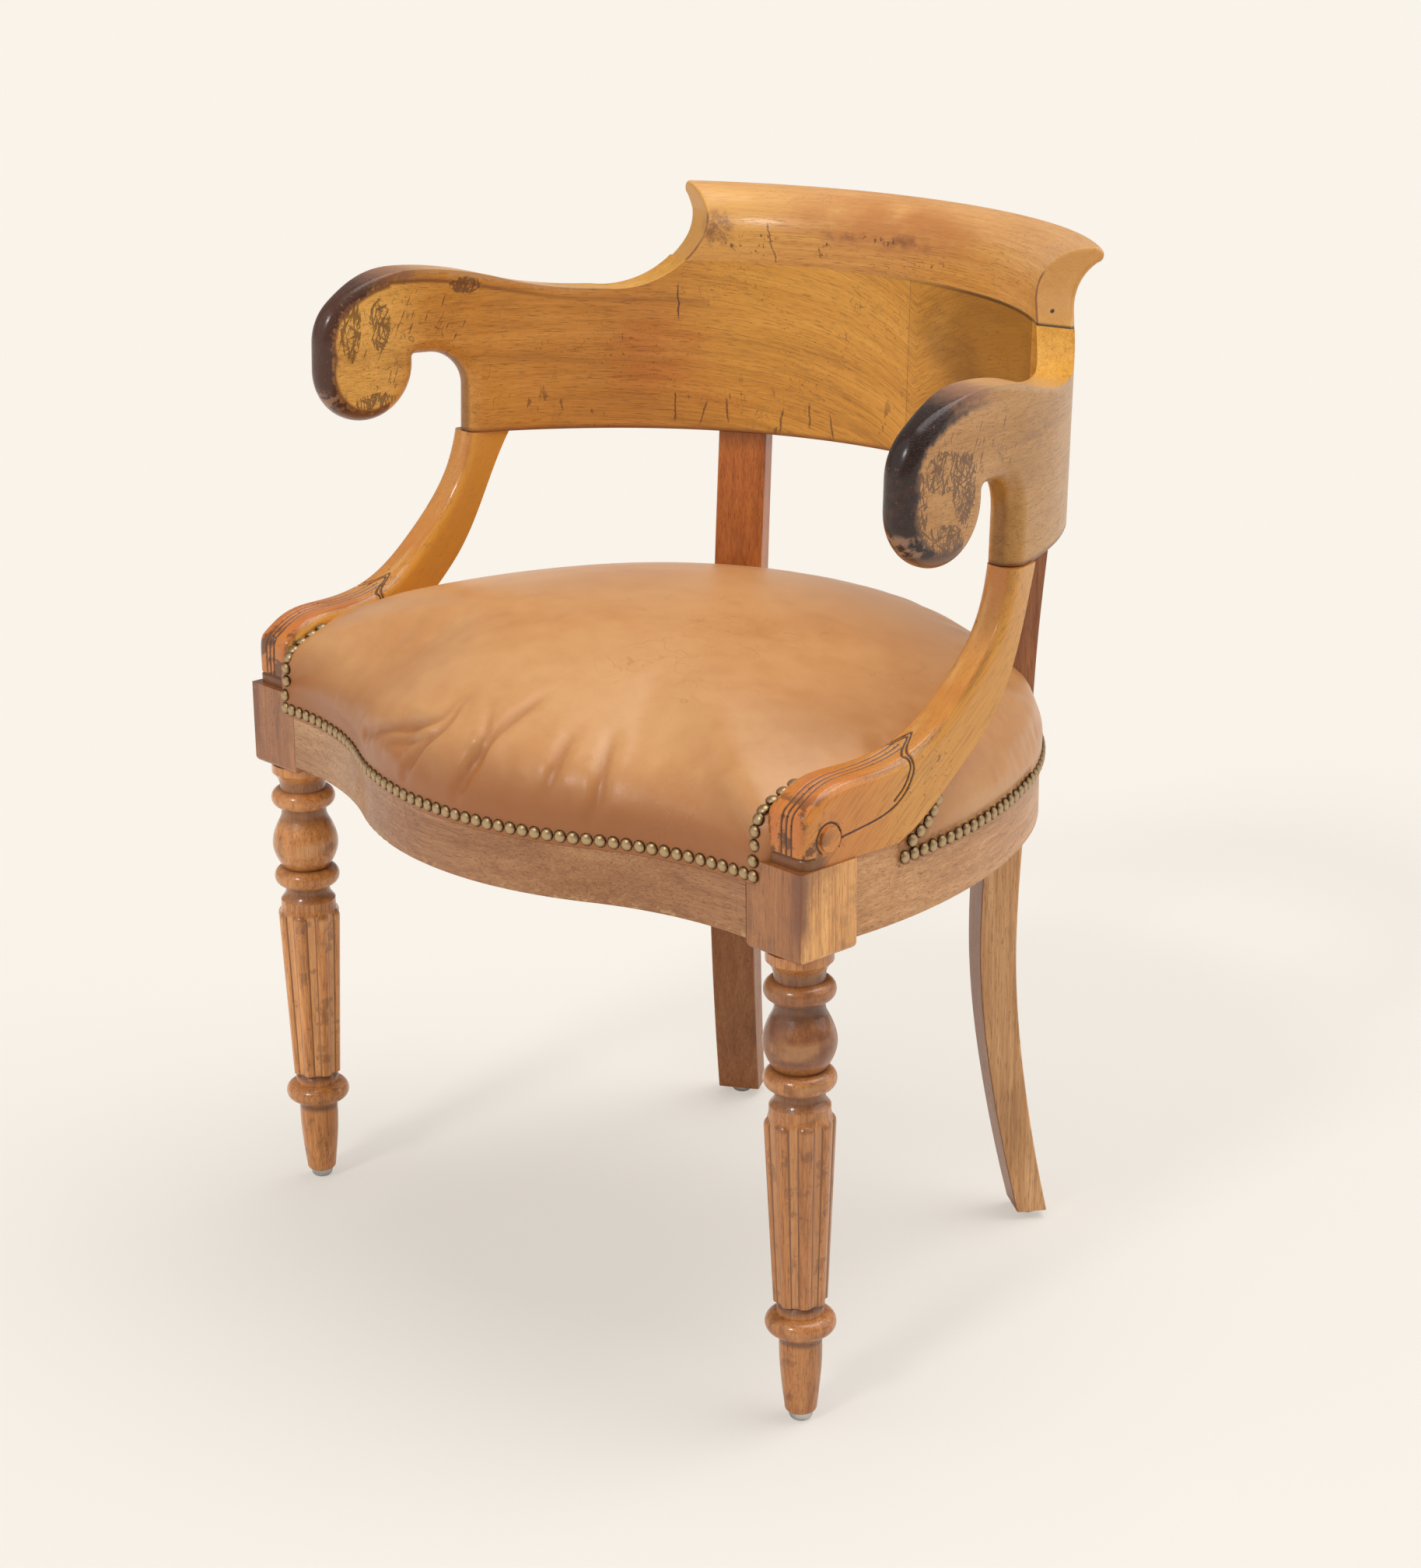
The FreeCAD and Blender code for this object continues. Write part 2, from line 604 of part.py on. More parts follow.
# Nails: domed heads set edge to edge
def nail(point, outward):
    """One nail head: an eight-sided button lying on the face that it is driven into."""
    rings = []
    for radius, lift in ((nail_diameter / 2, 0.0), (nail_diameter * 0.31, nail_rise)):
        turns = [math.pi * step / 4 for step in range(8)]
        rings.append(Part.Wire(polygon([FreeCAD.Vector(radius * math.cos(a), radius * math.sin(a), lift)
                                        for a in turns])))
    head = Part.makeLoft(rings, True, True)
    head.Placement = FreeCAD.Placement(point, FreeCAD.Rotation(Z, outward))
    return head


def nail_row(edges, facing):
    """Heads spread evenly along a run of edges; facing turns the run's direction into the outward one."""
    wire = Part.Wire(edges)
    spots = wire.discretize(Number=round(wire.Length / nail_pitch) + 1)
    heads = []
    for index, spot in enumerate(spots):
        ahead = spots[min(index + 1, len(spots) - 1)] - spots[max(index - 1, 0)]
        outward = facing(ahead).normalize()
        heads.append(nail(spot + outward * 0.1, outward))
    return heads


def level_facing(ahead):
    return FreeCAD.Vector(ahead.y, -ahead.x, 0)


def front_nails():
    rows = serpentine(-leather, nail_line)
    return nail_row([arc(*points) for points in rows], level_facing)


def rear_rows():
    """The nail line round the back: right side up to the leg, and the stretch between the legs."""
    radius, flat = ring_radius + leather, side_radius + leather
    leg_half = 5.0
    cy = side_centre(radius, ring_turn, flat)[1]
    first = math.degrees(math.acos((72.0 - cy) / flat))
    turns = (first, (first + ring_turn) / 2, ring_turn)
    side = [side_arc(radius, ring_turn, flat, turn, nail_line) for turn in turns]
    last = rear_angle + leg_half
    turn = [round_back(radius, a, nail_line) for a in (ring_turn, (ring_turn + last) / 2, last)]
    inside = rear_angle - leg_half
    back = [round_back(radius, a, nail_line) for a in (inside, 0, -inside)]
    return [arc(*side), arc(*turn)], [arc(*back)]


def diagonal_nails():
    """Up the leather's side, close under the arm support's rear sweep."""
    below = 7.5
    cx, cy = side_centre(ring_radius, ring_turn, side_radius)
    path = curve([at(0, y + below * 0.7, z - below * 0.7) for y, z in reversed(support_rear[3:])])
    heads = []
    for spot in path.discretize(Number=round(path.Length / nail_pitch) + 1)[1:]:
        y = spot.y + origin_back
        scale = leather_scale(spot.z)
        plan_y = seat_middle + (y - seat_middle) / scale
        plan_x = cx + math.sqrt(side_radius ** 2 - (plan_y - cy) ** 2)
        outward = FreeCAD.Vector(plan_x - cx, plan_y - cy, 0).normalize()
        heads.append(nail(at(plan_x * scale, y, spot.z) + outward * 0.3, outward))
    return heads


def inner_nails():
    """Up the leather's front corner beside the support's nose, then back along its top."""
    plane = block_inner + 8.0
    side_start = ring_line(ring_radius, side_radius, side_begin, 0)[0][0] - at(seat_corner, block_front)
    points = []
    for z in (nail_line, seat_base, 425, 435, 443, 449, 453, 456):
        scale = leather_scale(z)
        front = seat_middle + (block_front - seat_middle) * scale
        past_corner = max(0.0, plane - seat_corner * scale)
        points.append(at(plane, front + past_corner * side_start.y / side_start.x, z))
    return nail_row([curve(points)], lambda ahead: FreeCAD.Vector(0, -ahead.z, ahead.y))


# Dowels
def dowel(point, direction, length=36.0, radius=4.0):
    unit = FreeCAD.Vector(direction).normalize()
    return Part.makeCylinder(radius, length, point - unit * (length / 2), unit)


def panel_dowels():
    """Two on each side between panel and arm, one above the other."""
    a = math.radians(panel_half)
    along = FreeCAD.Vector(math.cos(a), -math.sin(a), 0)
    middle = band_radius + band_thickness / 2
    right = [dowel(round_back(middle, panel_half, z), along) for z in (604, 668)]
    return right + [mirrored(pin) for pin in right]


def crest_dowels():
    middle = band_radius + band_thickness / 2
    return [dowel(round_back(middle, angle, band_top), Z, 30.0) for angle in (-34, -17, 0, 17, 34)]


def post_dowels():
    """Two side by side from each rear post up into the panel; they lean with the back."""
    middle = band_radius + band_thickness / 2
    step = math.degrees(9.0 / middle)
    return [dowel(round_back(middle, side * rear_angle + turn, band_bottom), Z)
            for side in (-1, 1) for turn in (-step, step)]


def arm_dowels():
    """One from each support's head up into the arm; they lean with the back."""
    middle = band_thickness / 2
    pin = dowel(side_arc(band_radius + middle, band_turn, arm_radius + middle, 70.0, band_bottom), Z)
    return both(pin)


def foot_dowels():
    """Two from each front block up into its arm support."""
    right = [dowel(at(279, y, block_top), Z, 40.0) for y in (-13, 4)]
    return right + [mirrored(pin) for pin in right]


def save(name, shape):
    shape.exportStep("parts/%s.step" % name)
    print("%-24s valid %s, solids %d" % (name, shape.isValid(), len(shape.Solids)))


def save_pair(name, right):
    save(name + "_right", right)
    save(name + "_left", mirrored(right))


def main():
    os.makedirs("parts", exist_ok=True)
    pins = {"panel_dowels": [leaned(pin) for pin in panel_dowels()],
            "crest_dowels": [leaned(pin) for pin in crest_dowels()],
            "post_dowels": [leaned(pin) for pin in post_dowels()],
            "arm_dowels": [leaned(pin) for pin in arm_dowels()],
            "foot_dowels": foot_dowels()}
    for name, group in pins.items():
        save(name, Part.makeCompound(group))

    save("crest_rail", without(leaned(make_crest()), pins["crest_dowels"]))
    in_panel = pins["crest_dowels"] + pins["panel_dowels"] + pins["post_dowels"]
    save("back_panel", without(leaned(make_panel()), in_panel))
    save_pair("arm", without(leaned(make_arm()), pins["panel_dowels"] + pins["arm_dowels"]))
    save_pair("arm_support", without(make_support(), pins["arm_dowels"] + pins["foot_dowels"]))
    front_leg = without(make_front_leg(), pins["foot_dowels"])
    save_pair("front_leg", front_leg)
    save_pair("rear_leg", without(make_rear_leg(), pins["post_dowels"] + [rear_tenon(1), rear_tenon(-1)]))

    front_rail = make_front_rail()
    back_rail, side_rail = make_rails()
    save("front_rail", front_rail)
    save("back_rail", back_rail)
    save_pair("side_rail", side_rail)
    save_pair("corner_block", make_corner_block([front_rail, side_rail, front_leg]))
    save_pair("front_glide", make_glide(at(leg_spread, 0)))
    save_pair("rear_glide", make_glide(rear_foot()))

    taken = both(support_space()) + both(rear_slot())
    lengthwise, crosswise, cloth = make_webbing(taken)
    stuffing, cover = make_seat(taken)
    save("webbing_lengthwise", lengthwise)
    save("webbing_crosswise", crosswise)
    save("base_cloth", cloth)
    save("stuffing", stuffing)
    save("leather_cover", cover)

    side_row, back_row = rear_rows()
    save("front_nails", Part.makeCompound(front_nails()))
    save("back_nails", Part.makeCompound(nail_row(back_row, level_facing)))
    save_pair("side_nails", Part.makeCompound(nail_row(side_row, level_facing) + diagonal_nails()))
    save_pair("inner_nails", Part.makeCompound(inner_nails()))


main()
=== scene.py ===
import math
import random

import bmesh
import bpy
from mathutils import Matrix, Vector
from mathutils.bvhtree import BVHTree
from mathutils.kdtree import KDTree


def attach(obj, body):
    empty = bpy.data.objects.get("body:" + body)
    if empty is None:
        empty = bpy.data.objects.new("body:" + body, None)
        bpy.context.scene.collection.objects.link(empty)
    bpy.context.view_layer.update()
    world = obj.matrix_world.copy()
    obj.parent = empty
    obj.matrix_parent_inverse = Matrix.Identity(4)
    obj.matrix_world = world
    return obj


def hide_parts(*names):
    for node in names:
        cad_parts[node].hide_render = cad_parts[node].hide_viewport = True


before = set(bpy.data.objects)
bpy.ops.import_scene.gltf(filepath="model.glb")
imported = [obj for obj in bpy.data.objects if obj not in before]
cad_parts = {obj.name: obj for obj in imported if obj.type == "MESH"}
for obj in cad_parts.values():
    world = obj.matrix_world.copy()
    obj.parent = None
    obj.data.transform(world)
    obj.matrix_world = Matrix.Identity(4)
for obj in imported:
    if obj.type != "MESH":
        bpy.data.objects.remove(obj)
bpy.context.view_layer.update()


# Front legs: each turned from one squared blank of polished hardwood, with rings, a vase, eight reeds and a
# peg foot. The old varnish is red-brown and worn pale on what stands proud; the recesses are painted nearly
# black, partly old varnish and partly painted shade.
class Shade:
    """A value, colour or vector that changes over a surface: one output socket of a material's nodes."""

    def __init__(self, tree, socket):
        self.tree = tree
        self.socket = socket

    def node(self, kind, settings=None, sockets=None, output=0):
        node = self.tree.nodes.new(kind)
        for name, value in (settings or {}).items():
            if name == "stops":
                elements = node.color_ramp.elements
                while len(elements) < len(value):
                    elements.new(1.0)
                for element, (position, colour) in zip(elements, value):
                    element.position = position
                    element.color = (*colour, 1.0)
            else:
                setattr(node, name, value)
        for key, value in (sockets or {}).items():
            if isinstance(value, Shade):
                self.tree.links.new(value.socket, node.inputs[key])
            elif node.inputs[key].type == "RGBA":
                node.inputs[key].default_value = (*value, 1.0)
            else:
                node.inputs[key].default_value = value
        return Shade(self.tree, node.outputs[output] if node.outputs else None)

    def math(self, operation, *values):
        return self.node("ShaderNodeMath", {"operation": operation}, dict(enumerate(values)))

    def __add__(self, other):
        return self.math("ADD", self, other)

    def __sub__(self, other):
        return self.math("SUBTRACT", self, other)

    def __rsub__(self, other):
        return self.math("SUBTRACT", other, self)

    def __mul__(self, other):
        return self.math("MULTIPLY", self, other)

    __radd__ = __add__
    __rmul__ = __mul__

    def size(self):
        return self.math("ABSOLUTE", self)

    def least(self, other):
        return self.math("MINIMUM", self, other)

    def most(self, *others):
        """The highest of this value and some others."""
        highest = self
        for other in others:
            highest = self.math("MAXIMUM", highest, other)
        return highest

    def step(self, start, end):
        """0 up to start and 1 from end on, smooth between; the other way round where end is the lower."""
        smooth = {"interpolation_type": "SMOOTHSTEP"}
        return self.node("ShaderNodeMapRange", smooth, {0: self, 1: start, 2: end})

    def near(self, middle, reach):
        """1 at a value, falling to 0 at this reach on either side of it."""
        return (self - middle).size().step(reach, 0.0)

    def patch(self, along, up, wide, high):
        """1 in the middle of an oval on a flat vector, falling to 0 at its rim."""
        return self.scaled(1 / wide, 1 / high, 0.0).distance((along / wide, up / high, 0.0)).step(1.0, 0.4)

    def axis(self, number):
        return self.node("ShaderNodeSeparateXYZ", None, {0: self}, number)

    def vector(self, x, y, z):
        return self.node("ShaderNodeCombineXYZ", None, {0: x, 1: y, 2: z})

    def scaled(self, x, y, z):
        return self.node("ShaderNodeVectorMath", {"operation": "MULTIPLY"}, {0: self, 1: (x, y, z)})

    def distance(self, point):
        return self.node("ShaderNodeVectorMath", {"operation": "DISTANCE"}, {0: self, 1: point}, 1)

    def noise(self, scale, detail=3.0, roughness=0.5, bend=0.0):
        """Cloudy values round 0.5; scale is how many clouds fit in a metre, alike all round or by axis."""
        spread = scale if isinstance(scale, tuple) else (scale, scale, scale)
        sockets = {"Vector": self.scaled(*spread), "Scale": 1.0, "Detail": detail, "Roughness": roughness,
                   "Distortion": bend}
        return self.node("ShaderNodeTexNoise", None, sockets)

    def mix(self, one, two, kind="MIX"):
        """A colour that goes from one to two as this value goes from 0 to 1."""
        settings = {"data_type": "RGBA", "blend_type": kind}
        return self.node("ShaderNodeMix", settings, {0: self, 6: one, 7: two}, 2)

    def layered(self, *layers):
        """This colour with others laid over it in turn, each with how much of it shows; a tint multiplies."""
        colour = self
        for amount, tone, *kind in layers:
            colour = amount.mix(colour, tone, *kind)
        return colour

    def ramp(self, *colours):
        stops = [(index / (len(colours) - 1), colour) for index, colour in enumerate(colours)]
        return self.node("ShaderNodeValToRGB", {"stops": stops}, {0: self})


tint = "MULTIPLY"


def finish(name):
    """An empty material, and the object coordinates that its nodes start from."""
    material = bpy.data.materials.new(name)
    material.use_nodes = True
    material.node_tree.nodes.clear()
    place = Shade(material.node_tree, None).node("ShaderNodeTexCoord", None, None, 3)
    return material, place


def surface(place, colour, roughness, height, relief, **constants):
    """The shader: colour and roughness vary, height times relief in metres gives the bump."""
    bump = place.node("ShaderNodeBump", None, {"Strength": 1.0, "Distance": relief, "Height": height})
    sockets = {"Base Color": colour, "Roughness": roughness, "Normal": bump}
    sockets.update({key.replace("_", " "): value for key, value in constants.items()})
    shader = place.node("ShaderNodeBsdfPrincipled", None, sockets)
    place.node("ShaderNodeOutputMaterial", None, {"Surface": shader})


def hairlines(place, scale, width):
    """Thin wandering lines, where a cloudy value passes its middle."""
    return (place.noise(scale, 2.0, 0.6, 0.3) - 0.5).size().step(width, 0.0)


def wood_grain(grain, dark, middle, pale):
    """Figure, streaks and pores along a grain vector's X; gives the colour and a height."""
    clouds = grain.noise((3.5, 22.0, 22.0), 4.0, 0.55, 0.9)
    streaks = grain.noise((8.0, 190.0, 190.0), 3.0, 0.6)
    lines = grain.noise((12.0, 780.0, 780.0), 2.0, 0.6)
    pores = grain.noise((80.0, 1400.0, 1400.0), 2.0, 0.5).step(0.56, 0.68)
    tone = clouds * 1.5 + streaks * 1.1 + lines * 1.1 - 1.35
    colour = (pores * 0.5).mix(tone.ramp(dark, middle, pale), tuple(0.45 * part for part in dark))
    return colour, lines * 0.4 - pores


def polished_wood(name, lengthwise, tones, marks=None, gloss=0.34, coat=0.15):
    """Old polished hardwood: the grain, specks where the varnish has pitted, and the piece's own marks."""
    material, place = finish(name)
    colour, height = wood_grain(lengthwise(place), *tones)
    pitted = place.noise(520.0, 4.0, 0.65).step(0.61, 0.67) * place.noise(16.0, 2.0).step(0.42, 0.62)
    scuffs = hairlines(place, 24.0, 0.004) * place.noise(9.0, 2.0).step(0.52, 0.62)
    worn = (pitted * 0.7).most(scuffs * 0.35)
    colour = worn.mix(colour, (0.10, 0.038, 0.014))
    rough = gloss + place.noise(55.0, 3.0) * 0.12 + worn * 0.2
    if marks:
        colour, rough = marks(place, colour, rough)
    surface(place, colour, rough, height - worn * 1.5, 0.00010, Specular_IOR_Level=0.42, Coat_Weight=coat,
            Coat_Roughness=0.10)
    return material


def dress(material, *nodes):
    for name in nodes:
        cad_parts[name].data.materials.clear()
        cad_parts[name].data.materials.append(material)


def upright(place):
    return place.vector(place.axis(2), place.axis(0), place.axis(1))


def face_normal(place):
    return place.node("ShaderNodeNewGeometry", None, None, 1)


def sideways(place):
    """How far a face looks away from the chair's middle: 1 on an outer cheek, -1 on an inner one."""
    return face_normal(place).axis(0) * place.math("SIGN", place.axis(0))


leg_tones = (0.29, 0.096, 0.022), (0.51, 0.195, 0.054), (0.65, 0.287, 0.095)
front_axes = -0.1735
leg_axis = Vector((0.273, front_axes, 0.0))
block_bottom = 0.347
reed_count, reed_turn, reed_half = 8, 0.25, 14.0
reed_top, reed_foot = 0.2285, 0.0915


def leg_marks(place, colour, rough):
    """Painted shade darkens the slim turning, the reed grooves, round the reed heads and the foot's coves,
    with old varnish and blotches there too; the block's corner is red with varnish, and its faces carry
    painted light.
    """
    x, z = place.axis(0), place.axis(2)
    across = place.vector(x.size(), place.axis(1), 0.0)
    radius = across.distance(leg_axis)
    aside, ahead = across.axis(0) - leg_axis.x, across.axis(1) - leg_axis.y
    turned = z.step(block_bottom + 0.001, block_bottom - 0.002)
    slim = radius.step(0.0222, 0.0170) * z.step(reed_top, reed_top + 0.006) * turned
    pitch = place.math("ARCTAN2", ahead, aside) * (reed_count / math.tau) - reed_turn + 0.5
    from_reed = (place.math("FRACT", pitch) - 0.5).size() * (360.0 / reed_count)
    reeded = z.step(reed_foot - 0.003, reed_foot) * z.step(reed_top, reed_top - 0.004)
    groove = from_reed.near(reed_half, 2.4) * reeded
    floor_of_reeds = from_reed.step(reed_half - 1.0, reed_half + 2.0) * reeded
    head = z.near(reed_top - 0.001, 0.007) * from_reed.step(reed_half, reed_half - 5.0) * reeded
    ankle = z.near(0.0885, 0.006).most(z.near(0.0630, 0.005)) * radius.step(0.0200, 0.0160)
    blotches = place.noise(70.0, 4.0, 0.6).step(0.55, 0.64) * turned
    # Painted shade in the coves, the reed grooves, round the reed heads and at the foot, with old varnish and
    # blotches
    painted_shade_and_blotches = (slim * 0.62).most(groove * 0.75, ankle * 0.7, blotches * 0.4, head * 0.6)
    vase = z.near(0.296, 0.042).step(0.0, 0.5) * x.step(-0.3, 0.3)
    uneven = place.noise(38.0, 4.0, 0.6).step(0.34, 0.66)
    rubbed = radius.step(0.0236, 0.0250) * turned * place.noise(40.0).step(0.42, 0.64)
    block = z.step(block_bottom - 0.001, block_bottom + 0.002)
    outer_face = sideways(place).step(0.4, 0.9)
    far_leg = turned * x.step(0.1, -0.1) * (reeded * 0.5 + 0.5)
    corner = (aside - 0.024).size().most((ahead + 0.024).size())
    varnish = corner.step(0.0105, 0.0030) * block * z.step(block_bottom + 0.004, block_bottom + 0.030)
    patchy = place.noise(90.0, 4.0, 0.6).step(0.18, 0.48)
    mottled = block * place.noise(45.0, 4.0, 0.65).step(0.45, 0.68)
    return colour.layered(
        (floor_of_reeds * 0.35, (0.58, 0.275, 0.105)),
        (vase * (uneven * 0.45 + 0.50), (0.17, 0.050, 0.014)),
        (painted_shade_and_blotches, (0.090, 0.030, 0.011)),
        (rubbed * 0.4, (0.62, 0.315, 0.125)),
        # Painted light: the block's outer face is painted lighter and its other faces darker
        (block * outer_face, (1.45, 1.70, 1.7), tint),
        (block * (1.0 - outer_face), (0.72, 0.66, 0.60), tint),
        (far_leg, (1.52, 1.64, 1.70), tint),
        (varnish * patchy * 0.85, (0.19, 0.052, 0.015)),
        (mottled * 0.45, (0.22, 0.080, 0.026))), rough + painted_shade_and_blotches * 0.05


leg_wood = polished_wood("leg wood", upright, leg_tones, leg_marks, 0.24, 0.50)
dress(leg_wood, "front_leg_right", "front_leg_left")


# Rear legs: sabre foot and flat post in one piece of the same hardwood, sawn to shape and polished.
# The grain runs up them; under the back band the post is painted darker, as the band's painted shadow.
post_tones = (0.22, 0.072, 0.019), (0.33, 0.119, 0.036), (0.42, 0.175, 0.062)


def post_marks(place, colour, rough):
    """Redder above the seat; the outer sides of the feet are painted pale tan, partly tone and partly painted
    light;
    under the back band a painted shadow.
    """
    z, outer = place.axis(2), sideways(place).step(0.1, 0.6)
    above_seat = z.step(0.430, 0.470)
    foot, band_shadow = z.step(0.380, 0.330), z.step(0.548, 0.572)
    return colour.layered(
        (above_seat, (1.58, 1.31, 0.80), tint),
        (above_seat * outer, (0.52, 0.58, 0.95), tint),
        # The feet's outer sides painted pale tan: partly the wood's tone, partly painted light
        (foot * outer, (2.15, 3.10, 4.3), tint),
        # Painted shadow on the post under the back band
        (band_shadow * 0.7, (0.090, 0.028, 0.010))), rough


dress(polished_wood("post wood", upright, post_tones, post_marks), "rear_leg_right", "rear_leg_left")


# Seat rails and glue blocks: the front rail bowed, the others bent round the horseshoe, all tenoned into the
# legs. A paler, pinkish brown with open pores, chipped along the lower edge.
ring_centre, ring_radius = -0.059, 0.2845


def round_grain(place):
    """Grain that runs round the horseshoe: along it, up, and across its thickness."""
    x, back = place.axis(0), place.axis(1) - ring_centre
    angle = place.math("ARCTAN2", x, back)
    reach = place.vector(x, back, 0.0).distance((0.0, 0.0, 0.0))
    return place.vector(angle * ring_radius, place.axis(2), reach)


def straight_grain(place):
    return place


rail_tones = (0.27, 0.108, 0.039), (0.39, 0.174, 0.070), (0.50, 0.250, 0.115)


def rail_marks(place, colour, rough):
    """Open pores all over; along the lower edge the varnish is chipped down to pale wood. Outer faces are
    painted lighter as painted light, and a painted sheen lightens the far end.
    """
    pores = place.noise(620.0, 3.0, 0.6).step(0.66, 0.71)
    outer, far_end_sheen = sideways(place).step(0.3, 0.8), place.axis(0).step(-0.10, -0.20)
    low = place.axis(2).step(0.3610, 0.3545)
    chipped = low * place.noise((120.0, 120.0, 260.0), 4.0, 0.65).step(0.54, 0.60)
    return colour.layered(
        (pores * 0.7, (0.060, 0.026, 0.014)),
        # Painted light: the rails' outer faces are painted lighter
        (outer, (1.45, 1.55, 1.50), tint),
        # Painted sheen: a glossy reflection painted lighter on the far end
        (far_end_sheen, (1.15, 1.28, 1.35), tint),
        (chipped * 0.7, (0.56, 0.335, 0.155))), rough + chipped * 0.2


dress(polished_wood("front rail wood", straight_grain, rail_tones, rail_marks), "front_rail")
dress(polished_wood("round rail wood", round_grain, rail_tones, rail_marks),
      "back_rail", "side_rail_right", "side_rail_left")
inner_tones = (0.36, 0.20, 0.09), (0.52, 0.33, 0.17), (0.60, 0.42, 0.24)
dress(polished_wood("unpolished inner wood", upright, inner_tones, None, 0.62),
      "corner_block_right", "corner_block_left", "panel_dowels", "crest_dowels", "post_dowels", "arm_dowels",
      "foot_dowels")


# Glides: four pressed steel buttons, one tapped into the end of each foot.
# They are bright, with fine turning marks.
def bright_steel():
    material, place = finish("glide steel")
    rubbed = place.noise((900.0, 900.0, 60.0), 3.0)
    colour = rubbed.ramp((0.46, 0.46, 0.45), (0.80, 0.79, 0.77))
    surface(place, colour, rubbed * 0.25 + 0.18, rubbed, 0.00003, Metallic=1.0)
    return material


dress(bright_steel(), "front_glide_right", "front_glide_left", "rear_glide_right", "rear_glide_left")


# Arm supports: S-curved, sawn and carved hardwood between the front block and the arm, dowelled at both ends.
# The foot is carved with a leaf: three lines down its middle, a rim line with a pointed end, and a volute.
def from_photo_frame(x, y, z):
    """A point given in millimetres, its depth measured from the front legs' axes."""
    return Vector((x / 1000, y / 1000 + front_axes, z / 1000))


def flowing(points, spacing=0.0005):
    """Points closely spaced along a smooth line through the given ones."""
    line = []
    ends = [2 * points[0] - points[1]] + points + [2 * points[-1] - points[-2]]
    for before, start, end, after in zip(ends, ends[1:], ends[2:], ends[3:]):
        steps = max(2, int((end - start).length / spacing))
        for step in range(steps):
            t = step / steps
            bend = (2 * before - 5 * start + 4 * end - after) * t ** 2
            twist = (3 * start - before - 3 * end + after) * t ** 3
            line.append(0.5 * (2 * start + (end - before) * t + bend + twist))
    return line + [points[-1]]


cheek, far_cheek = 298.5, 261.0
leaf_rim = ((14, 426.5), (30, 428.5), (51, 432), (65.6, 438), (74.5, 446), (80, 457), (79, 466))
leaf_end = ((293, 79, 470), (287, 84, 473), (280, 96, 477))
front_run = ((84, 470.5), (40, 463.5), (2, 459), (-13, 450), (-19, 434), (-19, 418))
volute_centre, volute_radius = (3.4, 428.3), 10.7
ridge_lines = (275.4, 280.0, 284.6)
plinth_line = 417.5


def carved_lines():
    """Where the carver's tool ran on the right support, as lines of points near its surface."""
    lines = []
    for outer in (True, False):
        def place(x, y, z):
            return from_photo_frame(x if outer else cheek + far_cheek - x, y, z)
        lines.append([place(cheek, y, z) for y, z in leaf_rim] + [place(*point) for point in leaf_end])
        inside = [(y - 3.0, z + 2.2) for y, z in leaf_rim[3:]]
        inside_end = [place(x, y - 4.5, z - 1) for x, y, z in leaf_end]
        lines.append([place(cheek, y, z) for y, z in inside] + inside_end)
    lines += [[from_photo_frame(x, y, z) for y, z in front_run] for x in ridge_lines]
    lines.append([from_photo_frame(x, y, plinth_line) for x, y in
                  ((far_cheek, -11), (264, -17), (270, -19), (289, -19), (295, -17), (cheek, -10))])
    turns = [math.radians(angle) for angle in range(-130, -401, -15)]
    lines.append([from_photo_frame(cheek, volute_centre[0] + volute_radius * math.cos(turn),
                                   volute_centre[1] + volute_radius * math.sin(turn)) for turn in turns])
    return lines


def tree_of(points):
    """A tree that finds the nearest of some points."""
    tree = KDTree(len(points))
    for index, point in enumerate(points):
        tree.insert(point, index)
    tree.balance()
    return tree


def carved_support(name, side):
    """A copy of the sawn support with its foot refined and the lines cut into it."""
    groove, depth, fineness, margin, sharp = 0.0011, 0.0010, 0.0009, 0.003, math.radians(32)
    shape = bmesh.new()
    shape.from_mesh(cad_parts[name].data)
    bmesh.ops.remove_doubles(shape, verts=shape.verts, dist=0.00001)
    bmesh.ops.triangulate(shape, faces=shape.faces)
    wood = BVHTree.FromBMesh(shape)
    cuts = [Vector((side * point.x, point.y, point.z)) for line in carved_lines() for point in flowing(line)]
    tree = tree_of([wood.find_nearest(point)[0] for point in cuts])
    for size in (0.02, 0.01, 0.005, 0.0025, 0.0016, 0.0012, fineness, fineness):
        long = []
        for edge in shape.edges:
            length, middle = edge.calc_length(), (edge.verts[0].co + edge.verts[1].co) / 2
            if length > size and tree.find(middle)[2] < length / 2 + margin:
                long.append(edge)
        bmesh.ops.subdivide_edges(shape, edges=long, cuts=1)
        bmesh.ops.triangulate(shape, faces=[face for face in shape.faces if len(face.verts) > 3])
    shape.normal_update()
    for edge in shape.edges:
        edge.smooth = edge.calc_face_angle(0.0) < sharp
    carved = shape.verts.layers.float.new("carved")
    for point in shape.verts:
        reach = tree.find(point.co)[2] / groove
        if reach < 1.0:
            point[carved] = 1.0 - reach ** 2
            point.co -= point.normal * depth * point[carved]
    return as_piece(shape, name + "_carved")


def as_piece(shape, name, smooth=True):
    """A mesh object made from a bmesh, at the origin and riding on the chair."""
    mesh = bpy.data.meshes.new(name)
    for face in shape.faces:
        face.smooth = smooth
    shape.to_mesh(mesh)
    shape.free()
    piece = bpy.data.objects.new(name, mesh)
    bpy.context.scene.collection.objects.link(piece)
    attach(piece, "root")
    return piece


support_tones = (0.63, 0.270, 0.051), (0.69, 0.310, 0.060), (0.74, 0.348, 0.074)


